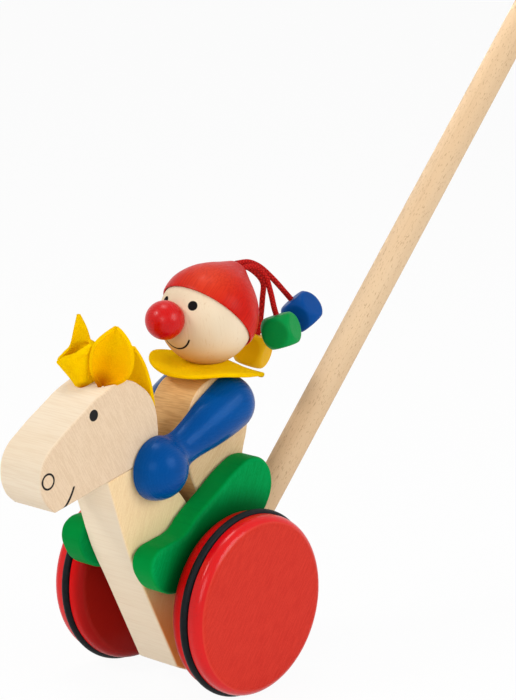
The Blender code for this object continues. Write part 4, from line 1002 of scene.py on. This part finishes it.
right_leaf = [
    [(-2.4, 0.6, -2.0), (-0.8, 2.4, -2.0), (2.4, 0.0, -2.0), (-0.8, -2.4, -2.0), (-2.4, -0.6, -2.0)],
    [(-4.8, 0.9, 2.5), (-0.8, 4.2, 2.0), (4.4, 0.0, 2.6), (-1.0, -4.0, 2.5), (-4.8, -0.9, 2.5)],
    [(-7.6, 0.9, 6.2), (-1.6, 5.2, 6.0), (5.2, 0.5, 7.0), (-2.0, -5.0, 6.0), (-7.6, -0.9, 6.2)],
    [(-10.6, 0.9, 9.8), (-3.0, 5.8, 10.2), (5.6, 0.5, 12.0), (-3.2, -5.6, 10.0), (-10.6, -0.9, 9.8)],
    [(-12.2, 0.8, 12.6), (-3.6, 5.8, 14.0), (5.6, 0.2, 16.6), (-4.4, -5.4, 14.0), (-12.2, -0.8, 12.6)],
    [(-6.0, 4.8, 15.8), (0.8, 5.4, 17.4), (5.2, -0.6, 18.8), (-3.6, -5.2, 16.5), (-10.0, -2.2, 15.0)],
    [(3.6, 4.4, 21.0), (4.8, 1.6, 20.6), (3.4, -2.4, 20.6), (-2.6, -4.6, 18.8), (-7.4, -3.0, 17.6)],
    [(2.6, -1.0, 22.4), (1.2, -2.6, 22.4), (-1.4, -3.6, 22.0), (-3.8, -3.8, 21.2), (-6.2, -3.4, 20.6)],
    [(0.8, -2.8, 28.4), (-0.6, -3.3, 28.3), (-2.0, -3.6, 28.0), (-3.4, -3.7, 27.6), (-4.8, -3.6, 27.2)],
    [(-1.9, -3.4, 33.7), (-2.2, -3.5, 33.8), (-2.5, -3.5, 33.9), (-2.8, -3.5, 33.8), (-3.1, -3.4, 33.7)],
]
ears = [
    ("left", left_leaf, (0.0080, -0.0630, 0.1112)),
    ("right", right_leaf, (-0.0033, -0.0633, 0.1099)),
]
for label, leaf, foot in ears:
    crossed = [smooth_line(row, steps=8) for row in leaf]
    columns = [smooth_line(column, steps=6) for column in zip(*crossed)]
    rows = [list(row) for row in zip(*columns)]
    ear_place = Matrix.Translation(foot) @ ear_axes @ Matrix.Scale(ear_unit, 4)
    ear_work = put(felt_leaf(rows), ear_place)
    ear = set_piece(f"felt_{label}_ear", ear_work, yellow_felt, "horse", "yellow_felt", f"{label}_ear")
    felt_edges(ear)


# Floor, light and camera
# A plain white floor, soft light from the upper left, a paler fill from the right, a bright surround,
# and a small lamp for the stick.
floor_mesh = bpy.data.meshes.new("floor")
floor_work = bmesh.new()
bmesh.ops.create_grid(floor_work, x_segments=1, y_segments=1, size=6.0)
floor_work.to_mesh(floor_mesh)
floor_work.free()
floor = add_object("floor", floor_mesh)
floor_white = bpy.data.materials.new("floor_white")
floor_white.use_nodes = True
floor_tree = floor_white.node_tree
floor_tree.nodes.clear()


def seen_by(tree, *rays):
    # 1 for a ray of one of these kinds, and 0 for the light that falls on the toy
    path = add_node(tree, "ShaderNodeLightPath", {}).outputs
    share = path[rays[0]]
    for ray in rays[1:]:
        share = math_node(tree, "MAXIMUM", share, path[ray])
    return share


floor_lit = add_node(floor_tree, "ShaderNodeBsdfDiffuse", {"Color": (0.9, 0.9, 0.9, 1)}).outputs[0]
floor_glow = add_node(floor_tree, "ShaderNodeEmission", {"Color": (1, 1, 1, 1), "Strength": 1.0}).outputs[0]
floor_seen = seen_by(floor_tree, "Is Camera Ray", "Is Glossy Ray")
glow_share = math_node(floor_tree, "MULTIPLY", floor_seen, 0.95)
floor_mix = add_node(floor_tree, "ShaderNodeMixShader", {0: glow_share, 1: floor_lit, 2: floor_glow})
add_node(floor_tree, "ShaderNodeOutputMaterial", {"Surface": floor_mix.outputs[0]})
floor_mesh.materials.append(floor_white)

surround = bpy.data.worlds.new("surround")
surround.use_nodes = True
bpy.context.scene.world = surround
sky_tree = surround.node_tree
sky_seen = seen_by(sky_tree, "Is Camera Ray", "Is Glossy Ray", "Is Transmission Ray")
sky_strength = math_node(sky_tree, "MULTIPLY_ADD", sky_seen, 0.67)
sky_strength.node.inputs[2].default_value = 0.33
sky_tree.nodes["Background"].inputs["Color"].default_value = (1, 1, 1, 1)
sky_tree.links.new(sky_strength, sky_tree.nodes["Background"].inputs["Strength"])


def soft_lamp(name, place, aim, size, power):
    lamp = bpy.data.lights.new(name, "AREA")
    lamp.shape = "DISK"
    lamp.size = size
    lamp.energy = power
    stand = add_object(name, lamp)
    stand.location = place
    stand.rotation_euler = (Vector(aim) - Vector(place)).to_track_quat("-Z", "Y").to_euler()
    return stand


toy_middle = (0.0, -0.12, 0.14)
soft_lamp("key", (-0.51, -1.21, 1.19), toy_middle, size=0.45, power=7.8)
soft_lamp("side", (1.35, 0.18, 0.75), toy_middle, size=0.9, power=9.5)
soft_lamp("top", (-0.20, -0.09, 1.70), toy_middle, size=0.6, power=6)
soft_lamp("front", (0.66, -1.24, 0.58), toy_middle, size=0.7, power=3.6)
stick_lamp = soft_lamp("stick", (-1.0, -0.45, 0.6), (0.0, 0.20, 0.40), size=0.3, power=0.36)
stick_lamp.data.spread = math.radians(30)

camera_data = bpy.data.cameras.new("camera")
camera_data.lens = 127.12
camera_data.sensor_width = 36
camera_data.sensor_fit = "AUTO"
camera = add_object("camera", camera_data)
camera.location = (0.78515, -0.97590, 0.42241)
camera.rotation_euler = (math.radians(77.05), 0, math.radians(42))
bpy.context.scene.camera = camera
bpy.context.scene.view_settings.view_transform = "Standard"
